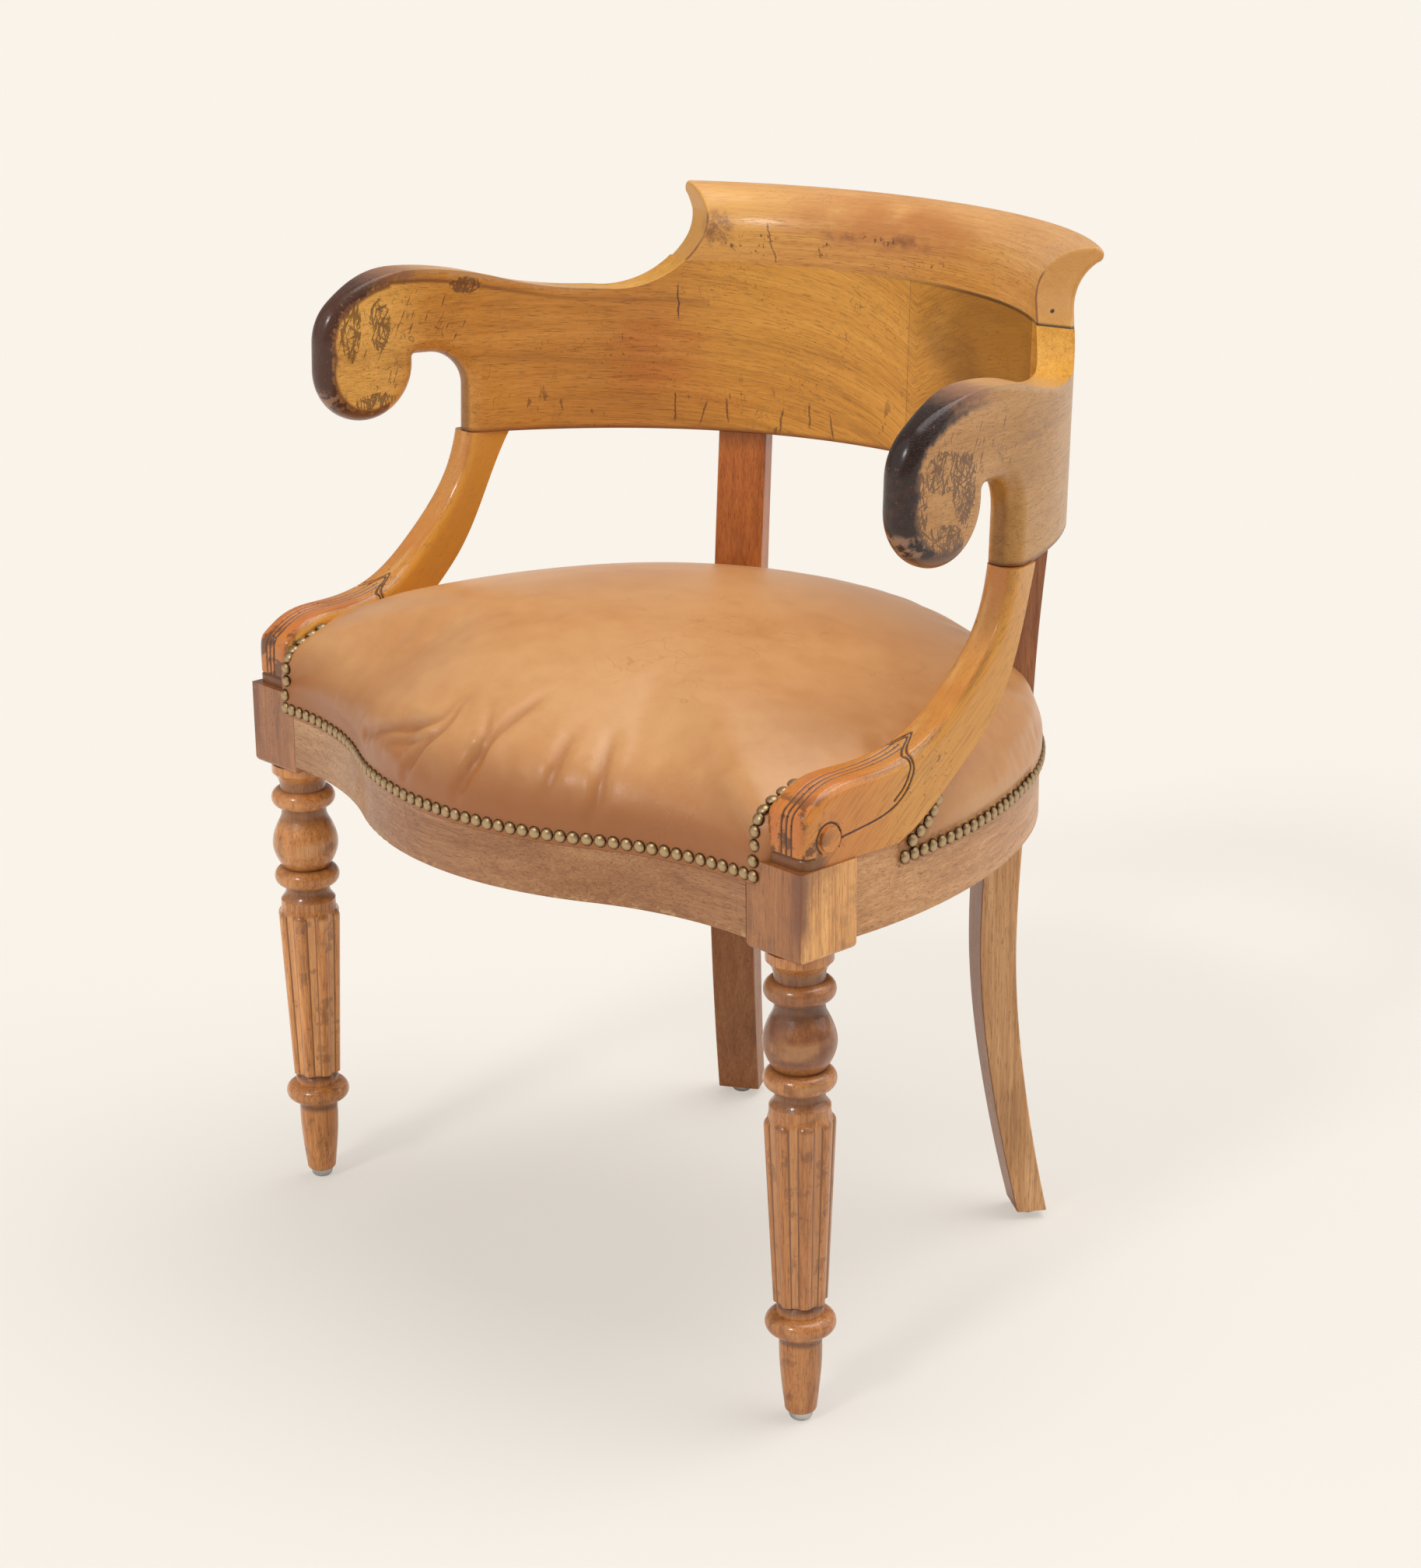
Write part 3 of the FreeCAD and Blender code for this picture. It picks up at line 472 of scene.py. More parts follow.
def support_grain(place):
    """Grain along the plank that the S was sawn from, rising to the back."""
    y, z = place.axis(1), place.axis(2)
    return place.vector((y * 0.77 + z * 0.64) * 0.5, z * 0.77 - y * 0.64, place.axis(0))


def painted(place, layer):
    """What a float layer of the mesh holds at each point."""
    return place.node("ShaderNodeAttribute", {"attribute_name": layer}, None, 2)


def support_marks(place, colour, rough):
    """Gold cheeks and a redder front, smoky at its corners; dirt in the carving and rubbed patches; a pale
    line along the ridge that is partly wear and partly a painted highlight.
    """
    cheek_face = sideways(place)
    x, y, z = place.axis(0).size(), place.axis(1), place.axis(2)
    inner = cheek_face.step(-0.55, -0.85)
    front = cheek_face.size().step(0.75, 0.35)
    red = front * (place.noise(26.0, 3.0).step(0.40, 0.64) * 0.4 + 0.30)
    smoke = cheek_face.size().near(0.62, 0.34) * place.noise((30.0, 18.0, 18.0), 3.0).step(0.42, 0.62)
    # Pale line along the ridge: partly wear, partly a painted highlight
    worn_ridge_highlight = x.near(0.280, 0.0042) * front * y.step(-0.120, -0.080) * place.noise(24.0).step(0.42, 0.62)
    ripe = y.step(-0.085, -0.150) * z.step(0.500, 0.470) * (1.0 - inner)
    plinth = z.step(plinth_line / 1000 + 0.0004, plinth_line / 1000 - 0.0006) * y.step(-0.165, -0.180)
    nose = y.step(-0.160, -0.186) * z.step(0.466, 0.446) * place.noise(75.0, 4.0, 0.6).step(0.50, 0.58)
    flecks = place.noise((300.0, 210.0, 210.0), 4.0, 0.7).step(0.61, 0.66)
    flecks = flecks * place.noise(24.0).step(0.50, 0.62)
    dirt = painted(place, "carved").step(0.20, 0.80)
    dark = (dirt * 0.88).most(plinth * 0.72, nose * 0.75, flecks * 0.6)
    return colour.layered(
        (inner * 0.7, (0.76, 0.330, 0.030)),
        (red, (0.60, 0.195, 0.034)),
        (smoke * 0.45, (0.12, 0.040, 0.014)),
        (worn_ridge_highlight * 0.45, (0.80, 0.47, 0.17)),
        (ripe * 0.8, (0.92, 0.70, 0.60), tint),
        (dark, (0.050, 0.018, 0.008))), rough + dark * 0.15 - 0.05


support_wood = polished_wood("support wood", support_grain, support_tones, support_marks, 0.24, 0.35)
for name, side in (("arm_support_right", 1), ("arm_support_left", -1)):
    support = carved_support(name, side)
    support.data.materials.append(support_wood)
    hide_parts(name)


# Back band: the panel veneered with two matched leaves, and the arms that run on from it into the scrolls.
# Ochre gold where it is rubbed, with old scratches; the scrolls' fronts are black and glossy from hands.
lean, lean_place, lean_height = math.sin(math.radians(2.32)), 0.0044, 0.574
band_tones = (0.51, 0.218, 0.025), (0.69, 0.318, 0.038), (0.81, 0.400, 0.063)
scroll_lobe, lobe_radius = (0.0915 + front_axes, 0.632, 0.0), 0.042
scroll_brow, brow_radius = (0.0895 + front_axes, 0.652, 0.0), 0.040
scroll_cap, cap_radius = (0.1275 + front_axes, 0.598, 0.0), 0.106


def side_view(place):
    """Depth and height on the band before it was leaned back, as a flat vector."""
    y, z = place.axis(1), place.axis(2)
    return place.vector(y - (z - lean_height) * lean, z + (y - lean_place) * lean, 0.0)


def matched_grain(place):
    """Figure mirrored about the middle joint, falling towards it and level out on the arms."""
    round_the_back = round_grain(place)
    along = round_the_back.axis(0).size()
    rise = (1.0 - place.math("EXPONENT", along * -11.0)) * 0.060
    return place.vector(along, side_view(place).axis(1) - rise, round_the_back.axis(2))


def outward(place):
    """How far the face looks away from the sitter: -1 on the inner faces, 1 on the outer ones."""
    back = place.axis(1) - ring_centre
    flat = place.vector(place.axis(0), back.most(0.0), 0.0)
    straight = place.node("ShaderNodeVectorMath", {"operation": "NORMALIZE"}, {0: flat})
    sockets = {0: face_normal(place), 1: straight}
    return place.node("ShaderNodeVectorMath", {"operation": "DOT_PRODUCT"}, sockets, 1)


middle_seam, seam_height = -0.008, 0.707
outer_tint = 0.70, 0.70, 1.15
# Cracks at the old joint and knocks along the lower edge: place along the band, height, half height or slant
real_joint = ((-0.2116, 0.675, 0.018), (-0.2151, 0.594, 0.012))
lower_knocks = ((-0.215, 0.590, 0.0), (-0.192, 0.588, 0.35), (-0.172, 0.591, -0.1), (-0.126, 0.586, 0.15),
                (-0.101, 0.592, 0.0), (-0.081, 0.585, -0.2), (0.060, 0.588, 0.1), (0.145, 0.590, -0.15))


def inner_marks(place, colour):
    """What age has left on the band's inner face, from panel on to arms: cracks, slashes, a redder zone."""
    along, z = round_grain(place).axis(0), side_view(place).axis(1)
    inside = outward(place).step(-0.3, -0.8)
    flat = place.vector(along, z, 0.0)
    red = flat.patch(-0.232, 0.636, 0.060, 0.045).most(flat.patch(-0.150, 0.600, 0.090, 0.026) * 0.6)
    red = red * inside * place.noise((18.0, 18.0, 60.0), 3.0).step(0.30, 0.70)
    ragged = along + (place.noise(120.0, 3.0, 0.6) - 0.5) * 0.005
    cracks = []
    for start, height, half in real_joint:
        cracks.append(ragged.near(start, 0.0011) * z.near(height, half).step(0.0, 0.4))
    for start, height, slant in lower_knocks:
        leaning = ragged - (z - height) * slant
        cracks.append(leaning.near(start, 0.0014) * z.near(height, 0.014).step(0.0, 0.6) * 0.8)
    knocks = place.noise((85.0, 85.0, 34.0), 4.0, 0.62).step(0.62, 0.66) * z.step(0.630, 0.592) * 0.6
    fine = (flat.scaled(2.2, 1.0, 1.0).noise(22.0, 2.0, 0.6, 0.2) - 0.5).size().step(0.0035, 0.0)
    fine = fine * place.noise(13.0, 2.0).step(0.52, 0.62) * 0.5
    return colour.layered(
        (along.size().step(0.14, 0.26) * inside, (0.80, 0.70, 0.80), tint),
        (red * 0.8, (0.90, 0.70, 0.60), tint),
        (knocks.most(fine, *cracks) * inside, (0.085, 0.026, 0.008)),
        (z.step(0.5785, 0.5750) * 0.75, (0.19, 0.050, 0.014)))


def panel_marks(place, colour, rough):
    """The right leaf lies darker, with a smoky patch; the crest's lower edge leaves a dark line there."""
    along, z = round_grain(place).axis(0), side_view(place).axis(1)
    inside, outside = outward(place).step(-0.3, -0.8), outward(place).step(0.15, 0.55)
    flat = place.vector(along, z, 0.0)
    right_leaf = along.step(middle_seam - 0.0005, middle_seam + 0.0005) * inside
    figure = flat.scaled(9.0, 26.0, 1.0).noise(1.0, 3.0, 0.6, 0.4).step(0.35, 0.66)
    gathering = along.step(middle_seam, middle_seam + 0.080)
    leaning = place.vector(along + (z - 0.660) * 0.9, z, 0.0)
    smoky = leaning.patch(0.045, 0.662, 0.048, 0.050) * inside
    colour = colour.layered(
        (outside, outer_tint, tint),
        (right_leaf * (figure * 0.15 + 0.03 + gathering * 0.68), (0.270, 0.108, 0.014)),
        (smoky * (figure * 0.28 + 0.04), (0.10, 0.040, 0.010)),
        (along.near(middle_seam, 0.0008) * inside * 0.4, (0.08, 0.028, 0.008)))
    gap = z.near(seam_height, 0.0016) * along.step(-0.06, 0.10)
    return (gap * 0.9).mix(inner_marks(place, colour), (0.03, 0.012, 0.006)), rough


dress(polished_wood("veneered panel", matched_grain, band_tones, panel_marks, 0.34), "back_panel")


def strokes(flat, turn, bias):
    """Straight scratches at this angle in degrees on a flat vector, closer where the bias is high."""
    lie, rise = math.cos(math.radians(turn)), math.sin(math.radians(turn))
    x, y = flat.axis(0), flat.axis(1)
    ruled = flat.vector(x * lie + y * rise, y * lie - x * rise, turn * 0.1)
    return (ruled.noise((70.0, 480.0, 1.0), 1.5, 0.6) + bias).step(0.655, 0.70)


# Where knocks lie close together on the arms' faces: depth, height, half width and half height in metres
outer_clusters = ((0.086, 0.655, 0.026, 0.018), (0.108, 0.642, 0.016, 0.030),
                  (0.085, 0.610, 0.030, 0.014), (0.062, 0.632, 0.012, 0.034))
inner_clusters = ((0.073, 0.664, 0.012, 0.034), (0.099, 0.664, 0.012, 0.026),
                  (0.095, 0.606, 0.024, 0.008), (0.170, 0.690, 0.016, 0.008))


def scratched(place, view, outside, inside):
    """Old scratches on the scrolls' flat faces, dense in some patches and scattered over the rest."""
    near_scroll = view.distance((0.098 + front_axes, 0.640, 0.0)).step(0.100, 0.050)
    bias = near_scroll * 0.10 - 0.11
    for clusters, face in ((outer_clusters, outside), (inner_clusters, inside)):
        for depth, height, wide, high in clusters:
            dense = view.patch(depth + front_axes, height, wide, high).step(0.0, 0.45) * face
            bias = bias.most(dense * 0.26 - 0.12)
    marks = strokes(view, 66.0, bias)
    for turn, less in ((100.0, 0.02), (20.0, 0.05), (-35.0, 0.05)):
        marks = marks.most(strokes(view, turn, bias - less))
    long = hairlines(view, 17.0, 0.0022) * place.noise(14.0, 2.0).step(0.46, 0.56)
    return marks.most(long * 0.6)


def arm_marks(place, colour, rough):
    """Black glossy fronts on the scrolls, purple-brown brows, pale tops that are partly a painted highlight,
    and scratches all over behind.
    """
    view = side_view(place)
    y, z = view.axis(0) - front_axes, view.axis(1)
    outside, inside = outward(place).step(0.15, 0.55), outward(place).step(-0.3, -0.7)
    far = inside * place.axis(0).step(0.1, -0.1) * y.step(0.300, 0.200)
    notch = y.step(0.098, 0.112) * y.step(0.200, 0.180) * z.step(0.694, 0.684)
    lobe = lobe_radius - view.distance(scroll_lobe)
    brow = brow_radius - view.distance(scroll_brow)
    cap = (cap_radius - view.distance(scroll_cap)).least((z - 0.655) * 2.5).least((y - 0.062) * 1.5)
    dip = (0.704 - 0.020 * y.step(0.1275, 0.2685) - z).least((y - 0.105) * 3.0)
    inset = lobe.most(brow, cap, dip)
    fray = place.noise(170.0, 5.0, 0.7) - 0.5
    ragged, ragged_depth = inset + fray * 0.012, y + fray * 0.03
    # Pale along the tops: rubbed wood with a painted highlight
    top = ragged.step(0.0050, 0.0010) * y.step(0.285, 0.225)
    brow_stain = ragged.step(0.0110, 0.0050) * ragged_depth.step(0.150, 0.112)
    bead = inset.near(0.0085, 0.0030) * inside * (y.step(0.275, 0.120) * 0.5 + 0.3)
    outer_edge = (inset + fray * 0.006).near(0.0105, 0.0045) * outside * y.step(0.150, 0.100)
    rim = (ragged - outside * 0.0035).step(0.0086, 0.0056) * ragged_depth.step(0.118, 0.082)
    black = rim * (1.0 - place.noise(330.0, 4.0, 0.7).step(0.64, 0.70) * 0.5)
    soot = place.axis(0).step(-0.1, 0.1).mix((0.075, 0.025, 0.012), (0.022, 0.007, 0.004))
    thin = rim * z.near(0.640, 0.030) * fray.step(-0.1, 0.25)
    worn_low = rim * z.near(0.609, 0.012).step(0.0, 0.6) * place.noise(130.0, 4.0, 0.6).step(0.44, 0.56)
    colour = colour.layered(
        (inside * y.step(0.150, 0.095), (1.28, 1.60, 2.3), tint),
        (far, (1.16, 1.24, 1.32), tint))
    return inner_marks(place, colour).layered(
        (outside, outer_tint, tint),
        (outside * y.step(0.180, 0.120), (1.12, 1.18, 1.85), tint),
        (notch * (1.0 - outside.most(inside)), (0.50, 0.46, 0.60), tint),
        (scratched(place, view, outside, inside) * 0.72, (0.085, 0.033, 0.016)),
        (top * 0.8, (0.62, 0.345, 0.155)),
        (brow_stain * 0.8, (0.24, 0.095, 0.055)),
        (bead, (0.16, 0.045, 0.018)),
        (outer_edge * 0.8, (0.070, 0.032, 0.026)),
        (black, soot),
        (thin * 0.35, (0.14, 0.050, 0.030)),
        (worn_low * 0.85, (0.34, 0.175, 0.100)),
        (z.step(0.603, 0.596) * rim * 0.8, (0.24, 0.092, 0.034))), rough - black * 0.14


dress(polished_wood("arm wood", matched_grain, band_tones, arm_marks, 0.33), "arm_right", "arm_left")


# Crest rail: a solid moulding bent round the top of the back, lapped over panel and arms and dowelled on.
# Pinkish gold, with long highlights on the roll, flecks low on its face and dark rubbed rims at its ends.
crest_tones = (0.50, 0.198, 0.036), (0.68, 0.315, 0.066), (0.80, 0.425, 0.125)
hollow_centre, hollow_radius, hollow_slant = (0.20446 + front_axes, 0.75386, 0.0), 0.07039, 0.3249
crest_crack = ((-0.1404, 0.738), (-0.1375, 0.730), (-0.1362, 0.722), (-0.1325, 0.715), (-0.1314, 0.709))
fleck_spots = (((-0.094, 0.722, 0.012, 0.008), 1.0), ((-0.042, 0.733, 0.020, 0.007), 1.0),
               ((0.020, 0.720, 0.030, 0.006), 0.6), ((-0.150, 0.722, 0.030, 0.012), 1.0))
worm_hole = 0.188, 0.1575, 0.711


def crest_marks(place, colour, rough):
    """Dark rims at its sawn ends, a crack and a smoky stain with flecks on the left half of the face, and a
    painted highlight on the face's left end.
    """
    view, turned = side_view(place), sideways(place)
    along = round_grain(place).axis(0)
    y, z = view.axis(0), view.axis(1)
    flat = place.vector(along, z, 0.0)
    face = outward(place).step(0.0, -0.5)
    rosy = z.step(0.738, 0.750).most(along.step(0.06, 0.16) * 0.5)
    ruddy = flat.patch(-0.030, 0.742, 0.130, 0.026) * place.noise(24.0, 3.0).step(0.26, 0.60)
    # Painted highlight on the left end of the face
    left_end_highlight = along.step(-0.10, -0.17) * face
    stain = z.near(0.7345, 0.0085) * along.step(-0.100, -0.080) * along.step(0.030, -0.010) * face
    stain = stain * place.noise(60.0, 4.0, 0.6).step(0.42, 0.62)
    spots = [flat.patch(*spot) * share for spot, share in fleck_spots]
    flecks = place.noise((260.0, 260.0, 180.0), 5.0, 0.72).step(0.57, 0.62)
    dark = spots[0].most(*spots[1:]).step(0.0, 0.4) * flecks * face * 0.8
    ragged = flat.noise(260.0, 3.0, 0.6) * 0.0036 - 0.0018
    for (start, top), (end, bottom) in zip(crest_crack, crest_crack[1:]):
        slope = (end - start) / (bottom - top)
        on_run = (along + ragged - (z - top) * slope).near(start, 0.0009)
        dark = dark.most(on_run * z.step(bottom - 0.0004, bottom) * z.step(top + 0.0004, top) * face * 0.85)
    smear = flat.patch(-0.180, 0.7320, 0.017, 0.018) * place.noise(150.0, 5.0, 0.75).step(0.36, 0.60)
    slanted = place.vector(y - place.axis(0).size() * hollow_slant, z.least(0.744), 0.0)
    past_end = slanted.distance(hollow_centre) - hollow_radius
    rim = past_end.step(0.0052, 0.0022) * z.step(0.7450, 0.7400) * place.noise(60.0, 3.0).step(0.30, 0.50)
    rim = rim * turned.step(-0.55, -0.40) * turned.step(0.25, 0.05)
    hole = place.distance(worm_hole).step(0.0021, 0.0011)
    gap = z.step(seam_height + 0.0026, seam_height + 0.0008) * along.step(-0.10, 0.12)
    return colour.layered(
        (rosy * 0.4, (0.76, 0.400, 0.185)),
        (ruddy * 0.75, (0.52, 0.190, 0.046)),
        (left_end_highlight * 0.45, (0.86, 0.46, 0.110)),
        (stain * 0.7, (0.20, 0.060, 0.018)),
        (dark, (0.11, 0.030, 0.010)),
        (smear * face * 0.75, (0.19, 0.070, 0.045)),
        (past_end.step(0.0012, 0.0004) * 0.6, (0.56, 0.265, 0.052)),
        (rim * 0.75, (0.20, 0.062, 0.026)),
        (hole.most(gap * 0.9), (0.022, 0.010, 0.006))), rough - 0.04


dress(polished_wood("crest wood", round_grain, crest_tones, crest_marks, 0.31, 0.10), "crest_rail")


# Seat: tan leather drawn tight over a domed hair stuffing and down over the rails to the nails.
# The leather is one sheet, simulated under the stuffing's pressure, with pull creases from the front edge.
def arc_through(start, middle, end, steps):
    """Points along the arc through three places on the seat's plan, the last one left to the next run."""
    bend = Matrix(((middle.x - start.x, middle.y - start.y), (end.x - start.x, end.y - start.y)))
    half = Vector(((middle - start).length_squared / 2, (end - start).length_squared / 2))
    centre = start + bend.inverted() @ half
    turn = (start - centre).angle_signed(middle - centre) + (middle - centre).angle_signed(end - centre)
    return [centre + Matrix.Rotation(-turn * step / steps, 2) @ (start - centre) for step in range(steps)]


seat_middle = Vector((0.0, 110.0))
seat_base, seat_crown, hem_bottom, hem_spare = 414.0, 497.5, 392.5, 8.0
leather_thickness, seat_reach = 1.7, 282


def seat_outline(share):
    """The seat's edge at a share of its size, in millimetres from the front legs' axes."""
    right = [Vector(point) for point in ((0, -86.5), (123.5, -55.25), (247, -24))]
    bow = arc_through(Vector((-123.5, -55.25)), right[0], right[1], 40)[20:]
    hollow = arc_through(right[1], Vector((185.25, -31.45)), right[2], 20)
    corner = [Vector(point) for point in ((247, -24), (253, -24), (259.5, -24), (272, -6), (284, 12))]
    side = arc_through(Vector((296.5, 30)), Vector((287.6, 141.9)), Vector((249.0, 246.9)), 30)
    back = arc_through(Vector((249.0, 246.9)), Vector((0, 396.5)), Vector((-249.0, 246.9)), 60)[:31]
    half = bow + hollow + corner + side + back
    whole = half + [Vector((-point.x, point.y)) for point in reversed(half[1:-1])]
    return [seat_middle + (point - seat_middle) * share for point in whole]


def seat_spread(share):
    """How broad the seat is at a share of its height: a bulge low down, then drawn in to the crown."""
    wall, bulge = 0.28, 0.012
    if share < wall:
        return 1 + bulge * math.sin(math.pi * share / wall)
    return (1 - ((share - wall) / (1 - wall)) ** 1.3) ** (1 / 2.2)


ring_shares = (0, 0.07, 0.14, 0.21, 0.28, 0.36, 0.45, 0.55, 0.65, 0.75, 0.84, 0.91, 0.96, 0.985, 0.997)


def domed_shape():
    """The seat as a closed form, ring by ring from below the leather's hem up to the crown."""
    levels = [(1.0, hem_bottom - hem_spare)]
    levels += [(seat_spread(share), seat_base + share * (seat_crown - seat_base)) for share in ring_shares]
    shape = bmesh.new()
    below = None
    for spread, z in levels:
        ring = seat_outline(spread + leather_thickness / seat_reach)
        points = [shape.verts.new(from_photo_frame(point.x, point.y, z)) for point in ring]
        edges = [shape.edges.new((a, b)) for a, b in zip(points, points[1:] + points[:1])]
        if below:
            bmesh.ops.bridge_loops(shape, edges=below + edges)
        else:
            shape.faces.new(points)
        below = edges
    bmesh.ops.edgeloop_fill(shape, edges=below)
    bmesh.ops.recalc_face_normals(shape, faces=shape.faces)
    return shape


def applied(piece):
    """The piece's mesh with its modifiers worked in, as a new bmesh; the piece itself is taken away."""
    shape = bmesh.new()
    shape.from_object(piece, bpy.context.evaluated_depsgraph_get())
    bpy.data.objects.remove(piece)
    return shape


def modified(shape, kind, **settings):
    """The shape with one modifier worked in."""
    piece = as_piece(shape, "seat_draft")
    modifier = piece.modifiers.new("draft", kind)
    for name, value in settings.items():
        setattr(modifier, name, value)
    return applied(piece)


def cut_below(shape, level):
    """Takes away what lies below a level in millimetres."""
    bmesh.ops.bisect_plane(shape, geom=shape.verts[:] + shape.edges[:] + shape.faces[:], dist=0.00001,
                           plane_co=(0, 0, level / 1000), plane_no=(0, 0, 1), clear_inner=True)


def puffed(shape, pinned_below, pressure, most):
    """The leather sheet pressed out by its stuffing; its hem is held, and no point moves more than most."""
    rest = [point.co.copy() for point in shape.verts]
    held = [index for index, place in enumerate(rest) if place.z < pinned_below]
    piece = as_piece(shape, "seat_draft")
    piece.vertex_groups.new(name="hem").add(held, 1.0, "REPLACE")
    cloth = piece.modifiers.new("leather", "CLOTH")
    hide = cloth.settings
    hide.vertex_group_mass = "hem"
    hide.use_pressure = True
    hide.uniform_pressure_force = pressure
    hide.effector_weights.gravity = 0.0
    hide.tension_stiffness = hide.compression_stiffness = 40.0
    hide.bending_stiffness = 3.0
    cloth.point_cache.frame_end = last_step = 20
    for step in range(1, last_step + 1):
        bpy.context.scene.frame_set(step)
    pressed = applied(piece)
    for point, start in zip(pressed.verts, rest):
        move = point.co - start
        point.co = start + move * min(1.0, most / max(move.length, 1e-9))
    bpy.context.scene.frame_set(1)
    return pressed


leather = modified(domed_shape(), "REMESH", mode="VOXEL", voxel_size=0.0062)
cut_below(leather, hem_bottom)
smooth_above = 0.420
for smoothing in range(6):
    above = [point for point in leather.verts if point.co.z > smooth_above]
    bmesh.ops.smooth_vert(leather, verts=above, factor=0.5, use_axis_x=True, use_axis_y=True, use_axis_z=True)
leather = puffed(leather, pinned_below=seat_base / 1000, pressure=4.0, most=0.006)
leather = modified(leather, "SUBSURF", levels=1, render_levels=1)

# Pull creases: points along each in millimetres, from the front edge on to the crown, then its half width
# and depth
creases = ((((-103, -69, 425), (-23, -72, 453), (-11, -46, 471)), 6.5, 4.6),
           (((-67, -81, 429), (-15, -82, 446)), 5.5, 3.6),
           (((-34, -86, 413), (-8, -74, 453), (-6, -45, 472)), 5.5, 3.8),
           (((24, -87, 413), (37, -73.5, 451), (20, -48, 470)), 6.0, 3.2),
           (((32, -88, 423), (43, -55, 462), (50, -21, 479)), 7.0, 3.2),
           (((99, -71, 427), (100, -64.5, 444), (91, -36, 465)), 7.0, 3.0),
           (((128.5, -54.6, 415), (134, -54, 432), (115, -21, 467)), 7.0, 3.2))
leather.normal_update()
fold_mark = leather.verts.layers.float.new("fold")
normals = [point.normal.copy() for point in leather.verts]
skin = BVHTree.FromBMesh(leather)
for run, width, deep in creases:
    line = flowing([from_photo_frame(*place) for place in run], 0.002)
    tree = tree_of([skin.find_nearest(place)[0] for place in line])
    for point, normal in zip(leather.verts, normals):
        index, reach = tree.find(point.co)[1:]
        aside = reach / (width / 1000)
        if aside < 2.6:
            fade = math.sin(math.pi * (0.12 + 0.88 * index / len(line))) ** 0.7
            fold = (1.0 - 0.9 * aside ** 2) * math.exp(-0.8 * aside ** 2)
            point.co -= normal * fold * fade * deep / 1000
            point[fold_mark] = max(point[fold_mark], fold * fade)


def skin_of(*names):
    """The surface of some CAD nodes together, for casting rays at."""
    points, faces = [], []
    for name in names:
        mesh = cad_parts[name].data
        faces += [[len(points) + corner for corner in face.vertices] for face in mesh.polygons]
        points += [point.co for point in mesh.vertices]
    return BVHTree.FromPolygons(points, faces)


# Beside the arm supports the wood shows, so there the sheet lies behind it, and it is held by the nails
tucked, tucked_at_posts, outside_all = 0.003, 0.004, 0.4
nail_bed, nail_reach = 0.0024, 0.02
cover = skin_of("leather_cover")
for hand, side in (("right", 1), ("left", -1)):
    wood = skin_of("arm_support_" + hand, "side_rail_" + hand, "front_leg_" + hand)
    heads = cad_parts["side_nails_" + hand].data.vertices
    nailed = tree_of([(0, corner.co.y, corner.co.z) for corner in heads])
    for point in leather.verts:
        if side * point.co.x > 0.25:
            start, inward = Vector((side * outside_all, point.co.y, point.co.z)), Vector((-side, 0, 0))
            meets_wood, meets_cover = wood.ray_cast(start, inward)[0], cover.ray_cast(start, inward)[0]
            behind = meets_cover is None or side * meets_cover.x < side * (meets_wood or start).x
            if meets_wood and behind and side * point.co.x > side * meets_wood.x - tucked:
                point.co.x = meets_wood.x - side * tucked
            index, reach = nailed.find((0, point.co.y, point.co.z))[1:]
            held = side * heads[index].co.x - nail_bed + max(0.0, reach - 0.002) * 0.8
            if reach < nail_reach and side * point.co.x > held:
                point.co.x = side * held
# Behind, it is cut round the posts
posts = skin_of("rear_leg_right", "rear_leg_left")
for point in leather.verts:
    if point.co.y > 0.1:
        middle = Vector((0, ring_centre, point.co.z))
        outward_way = (point.co - middle).normalized()
        meets_post = posts.ray_cast(middle + outward_way * 0.5, -outward_way)[0]
        if meets_post and (point.co - middle).length > (meets_post - middle).length - tucked_at_posts:
            point.co = meets_post - outward_way * tucked_at_posts
stuffed = leather.copy()
seat = as_piece(leather, "leather_seat")
thickness = seat.modifiers.new("leather thickness", "SOLIDIFY")
thickness.thickness = leather_thickness / 1000
thickness.offset = -1.0
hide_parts("leather_cover")


def tan_leather():
    """Smooth aniline hide: fine pebbled grain and faint wrinkles; painted shade darkens its low front and the
    pull creases.
    """
    material, place = finish("tan leather")
    clouds = place.noise(7.0, 3.0, 0.5)
    mottle = place.noise(60.0, 4.0, 0.6)
    tone = (clouds * 0.75 + mottle * 0.25).step(0.32, 0.68)
    colour = tone.ramp((0.53, 0.236, 0.080), (0.60, 0.292, 0.110), (0.65, 0.342, 0.140))
    # Painted shade: the low front of the leather is darker
    low = place.axis(2).step(0.458, 0.412) * place.axis(1).step(0.0, -0.16)
    # Painted shade along the pull creases
    crease_shade = painted(place, "fold").step(0.10, 0.95)
    wrinkles = hairlines(place, 34.0, 0.012) * place.noise(11.0).step(0.52, 0.66)
    colour = colour.layered(
        (low * 0.9, (0.33, 0.105, 0.024)),
        (crease_shade * 0.5, (0.36, 0.125, 0.034)),
        (wrinkles * 0.25, (0.30, 0.110, 0.034)))
    edges_of_cells = {"feature": "DISTANCE_TO_EDGE"}
    cells = place.node("ShaderNodeTexVoronoi", edges_of_cells, {"Vector": place, "Scale": 1100.0})
    pebbles = cells.step(0.0, 0.25)
    height = pebbles * 0.4 + mottle * 0.5 - wrinkles * 1.5
    surface(place, colour, 0.25 + mottle * 0.12, height, 0.00008, Specular_IOR_Level=0.5)
    return material


seat.data.materials.append(tan_leather())


